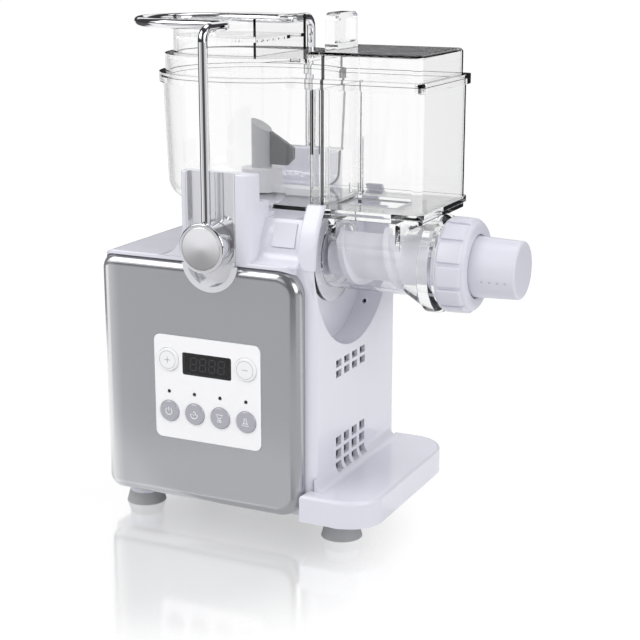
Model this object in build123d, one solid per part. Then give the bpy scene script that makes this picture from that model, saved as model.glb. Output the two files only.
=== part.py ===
from build123d import *
from math import asin, cos, degrees, pi, radians, sin, sqrt
import os

# Electric pasta maker. Millimetres, +Z up, front faces -Y, the dough leaves towards +X.
# The drawing has its X and Y zero on the mixing axis and its Z zero on the worktop;
# every piece is moved along X at the end, so that the origin lies under the box's middle.

# ---------------------------------------------------------------- body
foot_height = 16.5
body_left = 93.0
body_right = 76.0
body_depth = 160.0
deck_height = 201.0
deck_lip = 3.0
deck_lip_inset = 2.0
deck_lip_round = 1.2
deck_corner = 12.0
wall = 3.0
shell_corner = 7.0
panel_depth = 11.0
panel_inset = 7.0
panel_round = 8.0
panel_corner_left = 11.0
panel_corner_right = 18.0
panel_lip = 9.0
panel_screw_drop = 51.0
fit = 0.2
running_fit = 0.05
screw_radius = 1.5
screw_head_radius = 2.8
screw_head_height = 2.0

# ---------------------------------------------------------------- turret and horns
turret_height = 30.0
turret_left = 28.0
turret_half_depth = 50.0
turret_radius = 68.0
turret_flare_angle = 12.0
turret_flare_foot = 75.0
turret_flare_sag = 2.4
horn_height = 62.0
horn_face = 29.5
horn_left = 23.5
horn_root_left = 28.0
horn_root_right = 34.5
horn_hollow = -1.2
horn_inset = 2.0
horn_shoulder = 42.0
horn_thickness = 12.0
horn_edge = 3.0
horn_crown = 1.5
horn_flare = 20.0
rim_width = 13.0
rim_radius = 69.5
rim_height = 40.0
rim_round = 1.5

# ---------------------------------------------------------------- dough tray
tray_reach = 47.0
tray_height = 20.0
tray_corner = 26.0
tray_fillet = 9.0
tray_edge_round = 3.0

# ---------------------------------------------------------------- bail and its pivots
pivot_rise = 10.5
bail_rod_radius = 3.4
bail_height = 150.0
bail_arm_y = 84.0
bail_strand_y = 46.0
bail_reach = 95.0
bail_bend = 9.0
bail_seat = 6.0
hub_radius = 16.8
hub_front = 89.5
hub_back = 75.5
knob_rim_radius = 17.8
knob_rim_depth = 2.6
knob_face_radius = 15.2
knob_face_depth = 1.4
knob_face_proud = 0.3
knob_face_round = 0.8
knob_rim_round = 1.2
pin_radius = 4.0
pin_end = 58.0
pin_front = 80.0

# ---------------------------------------------------------------- chromed pocket behind the knob
liner_drop = 11.0
liner_radius = 19.5
liner_wall = 1.2
liner_back = 73.3
crescent_radius = 22.5
crescent_depth = 1.0
liner_pin_gap = 0.4

# ---------------------------------------------------------------- control panel
plate_width = 87.0
plate_height = 78.0
plate_corner = 5.0
plate_x = -4.0
plate_drop = 97.0
plate_proud = 0.6
plate_flange = 3.0
plate_flange_depth = 1.5
plate_post_radius = 3.0
plate_post_inset = 4.0
panel_skin = 2.5
display_width = 40.0
display_height = 16.5
display_rise = 19.0
window_depth = 1.2
window_corner = 1.4
window_ledge = 3.0
side_button_radius = 8.7
side_button_pitch = 63.6
side_button_rise = 20.5
button_radius = 8.0
button_pitch = 21.1
button_drop = 18.5
button_proud = 1.4
button_round = 1.3
button_flange = 1.2
button_flange_depth = 0.9
button_travel = 0.8
button_stem_radius = 2.2
led_radius = 1.35
led_drop = 3.5
led_proud = 0.3
switch_side = 6.0
switch_height = 3.4
switch_plunger = 0.6
board_thickness = 1.6
board_gap = 6.0

# ---------------------------------------------------------------- mixing bowl and hopper
bowl_seat = 4.0
bowl_height = 89.0
bowl_radius = 64.0
bowl_base_radius = 61.0
bowl_stretch = 8.5
bowl_round = 14.0
bowl_room = 1.0
clear_wall = 2.5
hopper_right = 144.0
hopper_half_depth = 44.5
hopper_corner = 5.0
rim_flange = 2.5
rim_thickness = 4.0
hopper_collar = 1.5
partition_x = 60.5
passage_half_width = 20.0
passage_height = 35.0
outlet_left = 70.0
outlet_right = 116.0
outlet_half_width = 19.0
boss_radius = 11.0
boss_height = 14.0
box_overlap = 30.0

# ---------------------------------------------------------------- lid, pouring tower and shutter
lid_flange_thickness = 3.0
lid_height = 16.0
lid_box_height = 21.0
lid_step_x = 56.0
lid_inset = 2.0
lid_lip = 4.0
lid_round = 3.0
tower_radius = 40.0
tower_x = -27.0
tower_right = 17.0
tower_height = 26.0
tower_floor_rise = 12.0
tower_slot_width = 3.6
tower_slot_length = 16.0
tower_slot_pitch = 9.0
tower_slots = 6
tower_slots_x = -12.0
shutter_thickness = 2.4
shutter_width = 60.0
shutter_gap = 0.4
tab_thickness = 10.0
tab_width = 34.0
tab_height = 25.0
tab_corner = 6.0
tab_wall = 4.0
rail_width = 2.6
lip_gap = 0.4

# ---------------------------------------------------------------- barrel, auger, die and nut
barrel_drop = 4.0
barrel_radius = 25.5
barrel_bore = 22.5
barrel_left = 60.5
barrel_flange_left = 138.0
barrel_flange_right = 146.0
barrel_flange_radius = 35.5
barrel_back_radius = 36.0
barrel_back_thickness = 3.5
barrel_neck_radius = 29.0
neck_length = 14.0
trough_inset = 3.0
trough_depth = 20.0
auger_core_radius = 17.0
auger_radius = 21.8
auger_pitch = 36.0
flight_thickness = 4.0
auger_gap = 2.0
die_radius = 28.0
die_thickness = 4.0
die_hole_radius = 2.3
die_hole_circle = 12.0
die_holes = 8
nut_radius = 34.0
nut_left = 149.0
nut_length = 22.0
nut_lip = 3.0
nut_bore = 22.7
nut_round = 2.0
nut_face_round = 4.0
nut_lugs = 12
nut_groove_radius = 2.6
nut_groove_start = 19.0
cap_radius = 22.0
cap_tip_radius = 20.5
cap_end = 204.0
cap_flange_radius = 27.0
cap_flange_depth = 3.6
cap_wall = 2.5
cap_round = 2.0
nut_groove_depth = 1.6
nut_clearance = 0.4
bell_length = 16.0
throat_flange = 3.0
throat_wall = 4.5
gasket = 1.0
socket_depth = 14.0
socket_gap = 1.0

# ---------------------------------------------------------------- drive train
gear_module = 1.5
auger_gear_teeth = 38
motor_pinion_teeth = 20
gear_face = 10.0
pinion_overhang = 0.5
gear_addendum = 1.2
gear_dedendum = 1.8
gear_left = 33.0
tooth_share = 0.44
tooth_flank = 0.36
tooth_root = 0.4
bevel_teeth = 14
bevel_radius = 14.0
bevel_face = 6.0
bevel_addendum = 1.1
bevel_dedendum = 1.5
bevel_tooth_share = 0.38
bevel_hub = 4.0
shaft_radius = 4.0
case_left = 22.0
case_right = 27.0
case_half_depth = 24.0
case_drop = 19.0
case_rise = 22.0
case_wall = 2.5
case_post = 3.4
case_screw_hole = 8.0
case_screw_length = 6.0
cover_thickness = 3.0
motor_radius = 24.0
motor_length = 65.0
motor_round = 2.5
bracket_thickness = 3.0
bracket_half_width = 30.0
bracket_foot = 18.0
motor_screw_reach = 17.0
fan_radius = 21.0
fan_hub_radius = 7.0
fan_blade = 1.6
fan_gap = 2.0
shaft_overhang = 1.0
fan_depth = 9.0
fan_blades = 7
bush_wall = 2.5
lip_seal_width = 2.0
mixer_square = 12.0
socket_radius = 7.4
socket_height_in_bowl = 27.0
socket_head = 13.0
socket_head_side = 9.0
drive_square = 6.0
paddle_hub_radius = 7.6
paddle_height = 57.0
paddle_top_angle = 30.0
paddle_gap = 0.5
paddle_skirt = 4.0
paddle_fin_reach = 27.0
paddle_fin_width = 4.0
paddle_fin_chamfer = 5.0
paddle_fin_slope = 20.0
paddle_fin_rise = 7.0
paddle_arm_reach = 52.0
paddle_arm_width = 14.0
paddle_arm_height = 5.0

# ---------------------------------------------------------------- small parts
foot_x = (-76.0, 90.0)
foot_y = 52.0
foot_radius = 15.0
foot_rubber_height = 9.0
foot_rim = 3.0
foot_hollow = 2.0
foot_disc_radius = 12.5
cover_side = 17.5
cover_x = 51.0
cover_rise = 19.5
cover_depth = 1.6
cover_proud = 0.8
cover_round = 0.5
micro_switch_offset = 6.5
micro_switch_width = 12.0
micro_switch_depth = 8.0
micro_switch_height = 16.0
inlet_width = 26.0
inlet_height = 16.0
inlet_depth = 19.0
inlet_lip = 2.0
socket_width = 18.0
socket_height = 10.0
socket_room = 12.0
contact_pitch = 8.6
contact_radius = 1.2
inlet_x = 40.0
inlet_rise = 27.0
vent_width = 9.2
vent_pitch_y = 14.0
vent_columns = 4
vent_y = -6.5
upper_vent_height = 5.4
upper_vent_pitch = 7.9
upper_vent_rows = 2
upper_vent_drop = 87.2
lower_vent_height = 7.0
lower_vent_pitch = 9.8
lower_vent_rows = 3
lower_vent_rise = 26.1
rear_vent_columns = 5
rear_vent_rows = 4
rear_vent_x = -40.0
rear_vent_rise = 62.0
panel_boss_radius = 3.6
panel_boss_depth = 9.0
panel_screw_head = 1.9
post_radius = 3.5
post_height = 8.0
motor_screw_head = 2.0
board_margin = 6.0
transformer_side = 28.0
transformer_height = 22.0
relay_side = 16.0
relay_height = 15.0
capacitor_radius = 7.0
capacitor_height = 24.0
board_posts = ((-74.0, -34.0), (-74.0, 34.0), (4.0, -34.0), (4.0, 34.0))

# ---------------------------------------------------------------- places worked out from the sizes
half_depth = body_depth / 2
front_plane = -half_depth
shell_half_depth = half_depth - panel_depth
panel_right = body_right - panel_inset
panel_top = deck_height - deck_lip
turret_top = deck_height + turret_height
horn_top = deck_height + horn_height
horn_front = half_depth - horn_inset
pivot_height = deck_height + pivot_rise
panel_screw_top = deck_height - panel_screw_drop
plate_z = deck_height - plate_drop
display_z = plate_z + display_rise
side_button_z = plate_z + side_button_rise
button_z = plate_z - button_drop
led_z = plate_z - led_drop
bowl_floor = turret_top + bowl_seat
bowl_rim = bowl_floor + bowl_height
lid_top = bowl_rim + lid_height
lid_box_top = bowl_rim + lid_box_height
tower_floor = lid_top + tower_floor_rise
tower_top = lid_top + tower_height
barrel_height = deck_height - barrel_drop
trough_radius = shell_half_depth - trough_inset
case_floor = barrel_height - case_drop
case_top = barrel_height + case_rise
socket_top = bowl_floor + socket_height_in_bowl
paddle_top = bowl_floor + paddle_height
cover_z = deck_height + cover_rise
cover_angle = degrees(asin((cover_z - barrel_height) / turret_radius))
rim_left = body_right - rim_width
inlet_z = foot_height + inlet_rise
upper_vent_z = deck_height - upper_vent_drop
lower_vent_z = foot_height + lower_vent_rise
rear_vent_z = foot_height + rear_vent_rise
nut_groove_circle = nut_radius + nut_groove_radius - nut_groove_depth
tray_right = body_right + tray_reach
base_top = foot_height + wall
liner_center = pivot_height - liner_drop
plate_front = front_plane - plate_proud
plate_back = front_plane + panel_skin
board_front = plate_back + plate_flange_depth + board_gap
bowl_inner = bowl_radius - clear_wall
hopper_inner = hopper_half_depth - clear_wall
floor_top = bowl_floor + clear_wall
shutter_left = partition_x + clear_wall + shutter_gap
shutter_right = shutter_left + shutter_thickness
tab_bottom = lid_box_top + fit
shutter_middle = (shutter_left + shutter_right) / 2
trough_back = body_right - trough_depth
gear_distance = gear_module * (auger_gear_teeth + motor_pinion_teeth) / 2
motor_height = barrel_height - gear_distance
neck_end = barrel_flange_right + neck_length
nut_right = nut_left + nut_length
die_left = neck_end + fit
die_right = die_left + die_thickness
cap_left = die_right
bail_plane = pivot_height + bail_height
box_left = -bail_reach - bail_rod_radius
machine_shift = -(box_left + cap_end) / 2


# ---------------------------------------------------------------- helpers
def block(x0, x1, y0, y1, z0, z1):
    """A box between two corners."""
    return Pos((x0 + x1) / 2, (y0 + y1) / 2, (z0 + z1) / 2) * Box(x1 - x0, y1 - y0, z1 - z0)


def rod_x(radius, x0, x1, y=0.0, z=0.0):
    """A round bar along X."""
    return Pos((x0 + x1) / 2, y, z) * Rot(0, 90, 0) * Cylinder(radius, x1 - x0)


def rod_y(radius, y0, y1, x=0.0, z=0.0):
    """A round bar along Y."""
    return Pos(x, (y0 + y1) / 2, z) * Rot(90, 0, 0) * Cylinder(radius, y1 - y0)


def rod_z(radius, z0, z1, x=0.0, y=0.0):
    """A round bar along Z."""
    return Pos(x, y, (z0 + z1) / 2) * Cylinder(radius, z1 - z0)


def slab_x(outline, x0, x1):
    """An outline drawn in Y and Z, drawn out along X."""
    plane = Plane(origin=(x0, 0, 0), x_dir=(0, 1, 0), z_dir=(1, 0, 0))
    return extrude(plane * outline, amount=x1 - x0)


def slab_y(outline, y0, y1):
    """An outline drawn in X and Z, drawn out along Y."""
    plane = Plane(origin=(0, y1, 0), x_dir=(1, 0, 0), z_dir=(0, -1, 0))
    return extrude(plane * outline, amount=y1 - y0)


def slab_z(outline, z0, z1):
    """An outline drawn in X and Y, drawn out along Z."""
    return extrude(Plane.XY.offset(z0) * outline, amount=z1 - z0)


def both_sides(shape):
    """The shape and its mirror image behind the middle plane."""
    return [shape, mirror(shape, about=Plane.XZ)]


def group(pieces):
    """Separate solids that share one node."""
    return Compound([solid for piece in pieces for solid in piece.solids()])


def screw(joint, thread_end, head_radius=None):
    """A screw about Z: its head stands on the plane z = joint, its shank ends at thread_end."""
    radius = screw_head_radius if head_radius is None else head_radius
    head = rod_z(radius, joint, joint + screw_head_height)
    return head + rod_z(screw_radius, thread_end, joint)


# ---------------------------------------------------------------- body shell
def panel_outline(shrink=0.0, side=-1):
    """Outline in X and Z of the front panel (-1), or of the rear one (+1), which reaches the right wall."""
    left, right = -body_left + shrink, (panel_right if side < 0 else body_right) - shrink
    bottom, top = foot_height + shrink, panel_top - shrink
    outline = Polygon((left, bottom), (right, bottom), (right, top), (left, top), align=None)
    by_side = outline.vertices().group_by(Axis.X)
    outline = fillet(by_side[-1], panel_corner_right - shrink)
    by_side = outline.vertices().group_by(Axis.X)
    return fillet(by_side[0], panel_corner_left - shrink)


def pocket_outline(radius):
    """The U of the arm's pocket: round below, open above the horn."""
    round_end = Pos(0, liner_center) * Circle(radius)
    upright = Pos(0, liner_center + horn_height) * Rectangle(2 * radius, 2 * horn_height)
    return round_end + upright


def tray_outline(shrink=0.0):
    """The dough tray's plan: a bowed D in front of the right wall."""
    right = tray_right - shrink
    half = half_depth - shrink
    corner = tray_corner - shrink
    middle = (body_right + right) / 2 - tray_corner
    width = right - body_right + 2 * tray_corner
    outline = Pos(middle, 0) * RectangleRounded(width, 2 * half, corner)
    start = panel_right + fit + shrink
    outline = outline & Pos((start + right) / 2, 0) * Rectangle(right - start, 2 * half)
    beside_rear = body_right + fit + shrink
    return outline - Pos(0, shell_half_depth - shrink + half) * Rectangle(2 * beside_rear, 2 * half)


def horn(side):
    """One horn beside the bowl: a flat upright slab on a foot that reaches back under the bowl."""
    front, back = -horn_front, -turret_half_depth + wall
    outline = make_face([
        Line((-horn_left, front), (horn_face, front)),
        SagittaArc((horn_face, front), (horn_root_right, back), horn_hollow),
        Line((horn_root_right, back), (-horn_root_left, back)),
        SagittaArc((-horn_root_left, back), (-horn_left, front), horn_hollow),
    ])
    outline = fillet(outline.vertices().group_by(Axis.Y)[0], horn_edge)
    start = panel_top + fit
    low = slab_z(outline, start, deck_height + horn_shoulder)
    high = slab_z(outline, start, horn_top)
    high = high & block(-body_left, body_right, front, front + horn_thickness, 0, 2 * horn_top)
    high = fillet(high.edges().group_by(Axis.Z)[-1], horn_crown)
    shape = low + high
    if side > 0:
        shape = mirror(shape, about=Plane.XZ)
    return shape


def turret():
    """The drive's round-backed housing on the deck, hollow where it runs out in front and behind."""
    flare = radians(turret_flare_angle)
    flare_y, flare_z = turret_radius * cos(flare), barrel_height + turret_radius * sin(flare)
    top_half = sqrt(turret_radius ** 2 - (turret_top - barrel_height) ** 2)
    shoulder = (flare + asin((turret_top - barrel_height) / turret_radius)) / 2
    middle_y, middle_z = turret_radius * cos(shoulder), barrel_height + turret_radius * sin(shoulder)
    run, rise = turret_flare_foot - flare_y, flare_z - deck_height
    chord = sqrt(run ** 2 + rise ** 2)
    hollow_y = (turret_flare_foot + flare_y) / 2 - turret_flare_sag * rise / chord
    hollow_z = (deck_height + flare_z) / 2 - turret_flare_sag * run / chord
    foot, below = turret_flare_foot, deck_height - deck_lip / 2
    outline = make_face([
        Line((-foot, below), (-foot, deck_height)),
        ThreePointArc((-foot, deck_height), (-hollow_y, hollow_z), (-flare_y, flare_z)),
        ThreePointArc((-flare_y, flare_z), (-middle_y, middle_z), (-top_half, turret_top)),
        Line((-top_half, turret_top), (top_half, turret_top)),
        ThreePointArc((top_half, turret_top), (middle_y, middle_z), (flare_y, flare_z)),
        ThreePointArc((flare_y, flare_z), (hollow_y, hollow_z), (foot, deck_height)),
        Line((foot, deck_height), (foot, below)),
        Line((foot, below), (-foot, below)),
    ])
    return slab_x(outline, -turret_left, rim_left + rim_round)


def trough_rim():
    """The trough's round wall where it stands above the deck."""
    drum = rod_x(rim_radius, rim_left, body_right, 0, barrel_height)
    drum = fillet(drum.edges().filter_by(GeomType.CIRCLE), rim_round)
    above = block(rim_left, body_right, -body_depth, body_depth, deck_height - wall, deck_height + rim_height)
    return drum & above


def deck_edge():
    """The deck's edge over both panels, following their upper corners."""
    half = half_depth - deck_lip_inset
    plan = Pos((rim_left - body_left) / 2, 0) * RectangleRounded(body_left + rim_left, 2 * half, deck_corner)
    edge = slab_z(plan, panel_top - panel_corner_right / 2, deck_height)
    edge = fillet(edge.edges().group_by(Axis.Z)[-1], deck_lip_round)
    edge = edge - slab_y(panel_outline(-fit), -half_depth, 0)
    return edge - slab_y(panel_outline(-fit, 1), 0, half_depth)


def horn_flare_filler(side):
    """Concave filler left of a horn's foot."""
    depth = horn_front - turret_half_depth
    filler = block(-horn_flare, 1, -depth / 2, depth / 2, 0, horn_flare)
    filler = filler - rod_y(horn_flare, -depth, depth, -horn_flare, horn_flare)
    return Pos(-horn_left, side * (turret_half_depth + depth / 2), deck_height) * filler


def body_block(half, shrink, bottom):
    """The body's plain block, rounded along its upper left edge like the panels."""
    body = block(-body_left + shrink, body_right - shrink, -half, half, bottom, deck_height - shrink)
    upper_left = body.edges().filter_by(Axis.Y).group_by(Axis.Z)[-1].sort_by(Axis.X)[0]
    return fillet(upper_left, panel_corner_left - shrink)


def housing_outer():
    """The outside of the body before it is hollowed."""
    body = body_block(shell_half_depth, 0.0, foot_height)
    right_uprights = body.edges().filter_by(Axis.Z).group_by(Axis.X)[-1]
    body = fillet(right_uprights.sort_by(Axis.Y)[0], shell_corner)
    outer = body + (deck_edge() & body_block(half_depth, 0.0, foot_height)) + turret() + trough_rim()
    for side in (-1, 1):
        outer = outer + horn(side) + horn_flare_filler(side)
    tray = slab_z(tray_outline(), foot_height, foot_height + tray_height)
    tray = fillet(tray.edges().group_by(Axis.Z)[-1], tray_edge_round)
    return outer + tray + tray_cove()


def tray_cove():
    """The hollow fillet where the tray meets the right wall."""
    half = shell_half_depth
    corner = foot_height + tray_height
    cove = block(body_right, body_right + tray_fillet, -half, half, corner, corner + tray_fillet)
    return cove - rod_y(tray_fillet, -half - 1, half + 1, body_right + tray_fillet, corner + tray_fillet)


def housing_cavity():
    """The room inside the body, open at the front, the rear and below."""
    room = body_block(shell_half_depth - wall, wall, foot_height - 1)
    openings = slab_y(panel_outline(panel_lip), -half_depth, half_depth)
    upper = block(
        -turret_left + wall, trough_back - wall,
        -turret_half_depth + wall, turret_half_depth - wall,
        deck_height - 2 * wall, turret_top - wall,
    )
    tray_room = slab_z(tray_outline(wall), foot_height - 1, foot_height + tray_height - wall)
    return room + openings + upper + tray_room


def vents(rows, z_bottom, pitch_z, height):
    """A grid of slots through the right wall."""
    cuts = []
    for column in range(vent_columns):
        for row in range(rows):
            y = vent_y + (column - (vent_columns - 1) / 2) * vent_pitch_y
            z = z_bottom + row * pitch_z
            cuts.append(
                block(body_right - 2 * wall, body_right + tray_fillet, y - vent_width / 2, y + vent_width / 2,
                      z - height / 2, z + height / 2)
            )
    return cuts


def main_housing():
    """White body with deck, turret, two arm horns, trough and tray."""
    shell = housing_outer() - housing_cavity()
    trough_shell = rod_x(trough_radius + wall, trough_back - wall, body_right - wall / 2, 0, barrel_height)
    below_deck = block(
        trough_back - wall, body_right, -half_depth, half_depth, foot_height, deck_height - wall / 2
    )
    shell = shell + (trough_shell & below_deck)
    clear_of_wall = body_right + tray_reach
    shell = shell - rod_x(trough_radius, trough_back, clear_of_wall, 0, barrel_height)
    shell = shell - slab_z(round_plan(bowl_radius + bowl_room), bowl_floor - bowl_room, horn_top + 1)
    for side in (-1, 1):
        low, high = sorted((side * (liner_back - fit), side * (horn_front + 1)))
        shell = shell - slab_y(pocket_outline(liner_radius + fit), low, high)
        pin_low, pin_high = sorted((side * (pin_end - 1), side * horn_front))
        shell = shell - rod_y(pin_radius + running_fit, pin_low, pin_high, 0, pivot_height)
    for x, z in panel_screw_places():
        shell = shell - rod_y(screw_radius + fit, -half_depth, half_depth, x, z)
    shell = shell - vents(upper_vent_rows, upper_vent_z, upper_vent_pitch, upper_vent_height)
    shell = shell - vents(lower_vent_rows, lower_vent_z, lower_vent_pitch, lower_vent_height)
    shell = shell - rod_z(shaft_radius + lip_seal_width, turret_top - 2 * wall, turret_top + 1)
    shell = shell - rod_x(shaft_radius + bush_wall, trough_back - 2 * wall, trough_back + 1, 0, barrel_height)
    return shell - cover_block(fit, 2 * cover_depth)


# ---------------------------------------------------------------- covers
def panel_shell(side):
    """A shallow cover with rounded edges: the front fascia (-1) or the rear cover (+1)."""
    outer = slab_y(panel_outline(0.0, side), -half_depth, -half_depth + panel_depth)
    face_edges = outer.edges().group_by(Axis.Y)[0]
    outer = fillet(face_edges, panel_round)
    room = slab_y(panel_outline(panel_skin, side), -half_depth + panel_skin, -half_depth + panel_depth + 1)
    cover = outer - room
    notch = slab_y(pocket_outline(liner_radius + fit), -half_depth - 1, -half_depth + panel_depth + 1)
    cover = cover - notch
    for x, z in panel_screw_places():
        boss = rod_y(panel_boss_radius, -half_depth + panel_skin - 0.5, -shell_half_depth, x, z)
        cover = cover + (boss & slab_y(panel_outline(panel_skin / 2), -half_depth, -shell_half_depth))
        cover = cover - rod_y(screw_radius, -half_depth + panel_skin, -shell_half_depth + 1, x, z)
    if side > 0:
        cover = mirror(cover, about=Plane.XZ)
    return cover


def front_fascia():
    """Silver front panel with the window for the control plate."""
    window = Pos(plate_x, plate_z) * RectangleRounded(
        plate_width + 2 * fit, plate_height + 2 * fit, plate_corner
    )
    return panel_shell(-1) - slab_y(window, front_plane - 1, front_plane + panel_skin + 1)


def rear_cover():
    """White rear cover with its air slots and the opening for the mains inlet."""
    cover = panel_shell(1)
    opening = block(
        inlet_x - inlet_width / 2 - fit, inlet_x + inlet_width / 2 + fit,
        half_depth - panel_depth - 1, half_depth + 1,
        inlet_z - inlet_height / 2 - fit, inlet_z + inlet_height / 2 + fit,
    )
    cover = cover - opening
    for column in range(rear_vent_columns):
        for row in range(rear_vent_rows):
            x = rear_vent_x + (column - (rear_vent_columns - 1) / 2) * vent_pitch_y
            z = rear_vent_z + row * lower_vent_pitch
            cover = cover - block(
                x - vent_width / 2, x + vent_width / 2, half_depth - panel_depth, half_depth + 1,
                z - upper_vent_height / 2, z + upper_vent_height / 2,
            )
    return cover


def pivot_liner(side):
    """Chromed pocket behind a knob, with the crescent lying on the panel."""
    tray = slab_y(pocket_outline(liner_radius), front_plane, -liner_back)
    room = slab_y(pocket_outline(liner_radius - liner_wall), front_plane - 1, -liner_back - liner_wall)
    liner = tray - room
    reach = 2 * liner_radius
    liner = liner - block(-reach, reach, -body_depth, 0, horn_top, 2 * horn_top)
    liner = liner - block(-reach, reach, front_plane - 1, -horn_front, deck_height, horn_top + 1)
    ring = Pos(0, liner_center) * (Circle(crescent_radius) - Circle(liner_radius - liner_wall))
    crescent = slab_y(ring, front_plane - crescent_depth, front_plane)
    crescent = crescent & block(-reach, reach, -body_depth, 0, 0, panel_top)
    liner = liner + crescent
    hole_front = -liner_back - 2 * liner_wall
    liner = liner - rod_y(pin_radius + liner_pin_gap, hole_front, -liner_back + 1, 0, pivot_height)
    if side > 0:
        liner = mirror(liner, about=Plane.XZ)
    return liner


def base_plate():
    """Bottom cover with bosses for the feet and posts for the power board."""
    body = block(
        -body_left + wall + fit, body_right - wall - fit,
        -shell_half_depth + wall + fit, shell_half_depth - wall - fit, foot_height, base_top,
    )
    plate = body + slab_z(tray_outline(wall + fit), foot_height, base_top)
    for x, y in board_posts:
        plate = plate + rod_z(post_radius, base_top - 1, base_top + post_height, x, y)
    for x, y in foot_places():
        plate = plate - rod_z(screw_radius + fit, foot_height - 1, base_top + 1, x, y)
    return plate


def foot_places():
    """Where the four feet stand, in X and Y."""
    return [(x, y) for x in foot_x for y in (-foot_y, foot_y)]


def foot_discs():
    """The white discs between base and rubber feet."""
    disc = rod_z(foot_disc_radius, foot_rubber_height, foot_height)
    disc = disc - rod_z(screw_radius + fit, foot_rubber_height - 1, foot_height + 1)
    return group([Pos(x, y, 0) * disc for x, y in foot_places()])


def suction_feet():
    """The four rubber suction feet."""
    foot = Pos(0, 0, foot_rubber_height / 2) * Cone(foot_radius, foot_disc_radius, foot_rubber_height)
    hollow = Cone(foot_radius - foot_rim, foot_radius / 2, foot_hollow)
    foot = foot - Pos(0, 0, foot_hollow / 2) * hollow
    return group([Pos(x, y, 0) * foot for x, y in foot_places()])


def foot_screws():
    """One screw through the base into each foot disc."""
    one = screw(base_top, foot_rubber_height + foot_hollow)
    return group([Pos(x, y, 0) * one for x, y in foot_places()])


def panel_screw_places():
    """Where both panels are screwed to the body's flanges, in X and Z."""
    inset = (panel_lip + wall) / 2
    left, right = -body_left + inset, panel_right - inset
    low = foot_height + panel_corner_right + panel_lip
    return [(x, z) for x in (left, right) for z in (low, panel_screw_top)]


def panel_screws():
    """Screws from inside the body's flanges into both panels."""
    seat = shell_half_depth - wall
    screws = []
    for x, z in panel_screw_places():
        one = screw(-seat, -seat + 1.0 - panel_boss_depth, panel_screw_head)
        screws.append(Pos(x, 0, z) * Rot(-90, 0, 0) * one)
        screws.append(Pos(x, 0, z) * Rot(90, 0, 0) * one)
    return group(screws)


# ---------------------------------------------------------------- control panel
def button_places():
    """Name, x, z and radius of each button."""
    row = [plate_x + (index - 1.5) * button_pitch for index in range(4)]
    names = ("button_power", "button_mix", "button_extrude", "button_weigh")
    places = [(name, x, button_z, button_radius) for name, x in zip(names, row)]
    places.append(("button_plus", plate_x - side_button_pitch / 2, side_button_z, side_button_radius))
    places.append(("button_minus", plate_x + side_button_pitch / 2, side_button_z, side_button_radius))
    return places


def led_places():
    """The x of each status lamp."""
    return [plate_x + (index - 1.5) * button_pitch for index in range(4)]


def control_plate():
    """White plate with holes for buttons, lamps and display."""
    outline = Pos(plate_x, plate_z) * RectangleRounded(plate_width, plate_height, plate_corner)
    rim = Pos(plate_x, plate_z) * RectangleRounded(
        plate_width + 2 * plate_flange, plate_height + 2 * plate_flange, plate_corner
    )
    back = plate_back + plate_flange_depth
    plate = slab_y(outline, plate_front, plate_back) + slab_y(rim, plate_back, back)
    for name, x, z, radius in button_places():
        plate = plate - rod_y(radius + fit, plate_front - 1, back + 1, x, z)
        plate = plate - rod_y(radius + button_flange + fit, plate_back, back + 1, x, z)
    for x in led_places():
        plate = plate - rod_y(led_radius, plate_front - 1, back + 1, x, led_z)
    opening = Pos(plate_x, display_z) * Rectangle(display_width - window_ledge, display_height - window_ledge)
    plate = plate - slab_y(opening, plate_front - 1, back + 1)
    recess = Pos(plate_x, display_z) * RectangleRounded(
        display_width + fit, display_height + fit, window_corner + fit / 2
    )
    plate = plate - slab_y(recess, plate_front - 1, plate_front + window_depth)
    for x, z in plate_posts():
        plate = plate + rod_y(plate_post_radius, back - plate_flange_depth / 2, board_front, x, z)
    return plate


def plate_posts():
    """The four posts that carry the control board."""
    half_x = plate_width / 2 - plate_post_inset
    half_z = plate_height / 2 - plate_post_inset
    return [(plate_x + i * half_x, plate_z + j * half_z) for i in (-1, 1) for j in (-1, 1)]


def display_window():
    """Smoked window, flush with the plate."""
    outline = Pos(plate_x, display_z) * RectangleRounded(display_width, display_height, window_corner)
    return slab_y(outline, plate_front, plate_front + window_depth)


def display_module():
    """Digit display behind the window, standing on the control board."""
    width, height = display_width - window_ledge - 2 * fit, display_height - window_ledge - 2 * fit
    outline = Pos(plate_x, display_z) * Rectangle(width, height)
    return slab_y(outline, plate_front + window_depth + fit, board_front)


def led_lenses():
    """Four status lamps on legs down to the board."""
    front = plate_front - led_proud
    lamps = [rod_y(led_radius - fit / 2, front, board_front, x, led_z) for x in led_places()]
    return group(lamps)


def button(x, z, radius):
    """A domed button with its retaining flange and the stem that presses the switch."""
    front = plate_front - button_proud
    cap = rod_y(radius, front, plate_back + button_flange_depth, x, z)
    cap = fillet(cap.edges().group_by(Axis.Y)[0], button_round)
    flange_front = plate_back + fit
    flange = rod_y(radius + button_flange, flange_front, flange_front + button_flange_depth, x, z)
    stem_end = board_front - switch_height - button_travel - fit
    stem = rod_y(button_stem_radius, flange_front, stem_end, x, z)
    return cap + flange + stem


def control_board():
    """Circuit board of the control panel."""
    outline = Pos(plate_x, plate_z) * RectangleRounded(plate_width, plate_height, plate_corner)
    board = slab_y(outline, board_front, board_front + board_thickness)
    for x, z in plate_posts():
        board = board - rod_y(screw_radius + fit, board_front - 1, board_front + board_thickness + 1, x, z)
    return board


def board_screws():
    """The screws that hold the control board and the power board to their posts."""
    back = board_front + board_thickness
    screws = []
    for x, z in plate_posts():
        screws.append(Pos(x, 0, z) * Rot(-90, 0, 0) * screw(back, board_front))
    top = base_top + post_height + board_thickness
    for x, y in board_posts:
        screws.append(Pos(x, y, 0) * screw(top, top - board_thickness))
    return group(screws)


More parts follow.
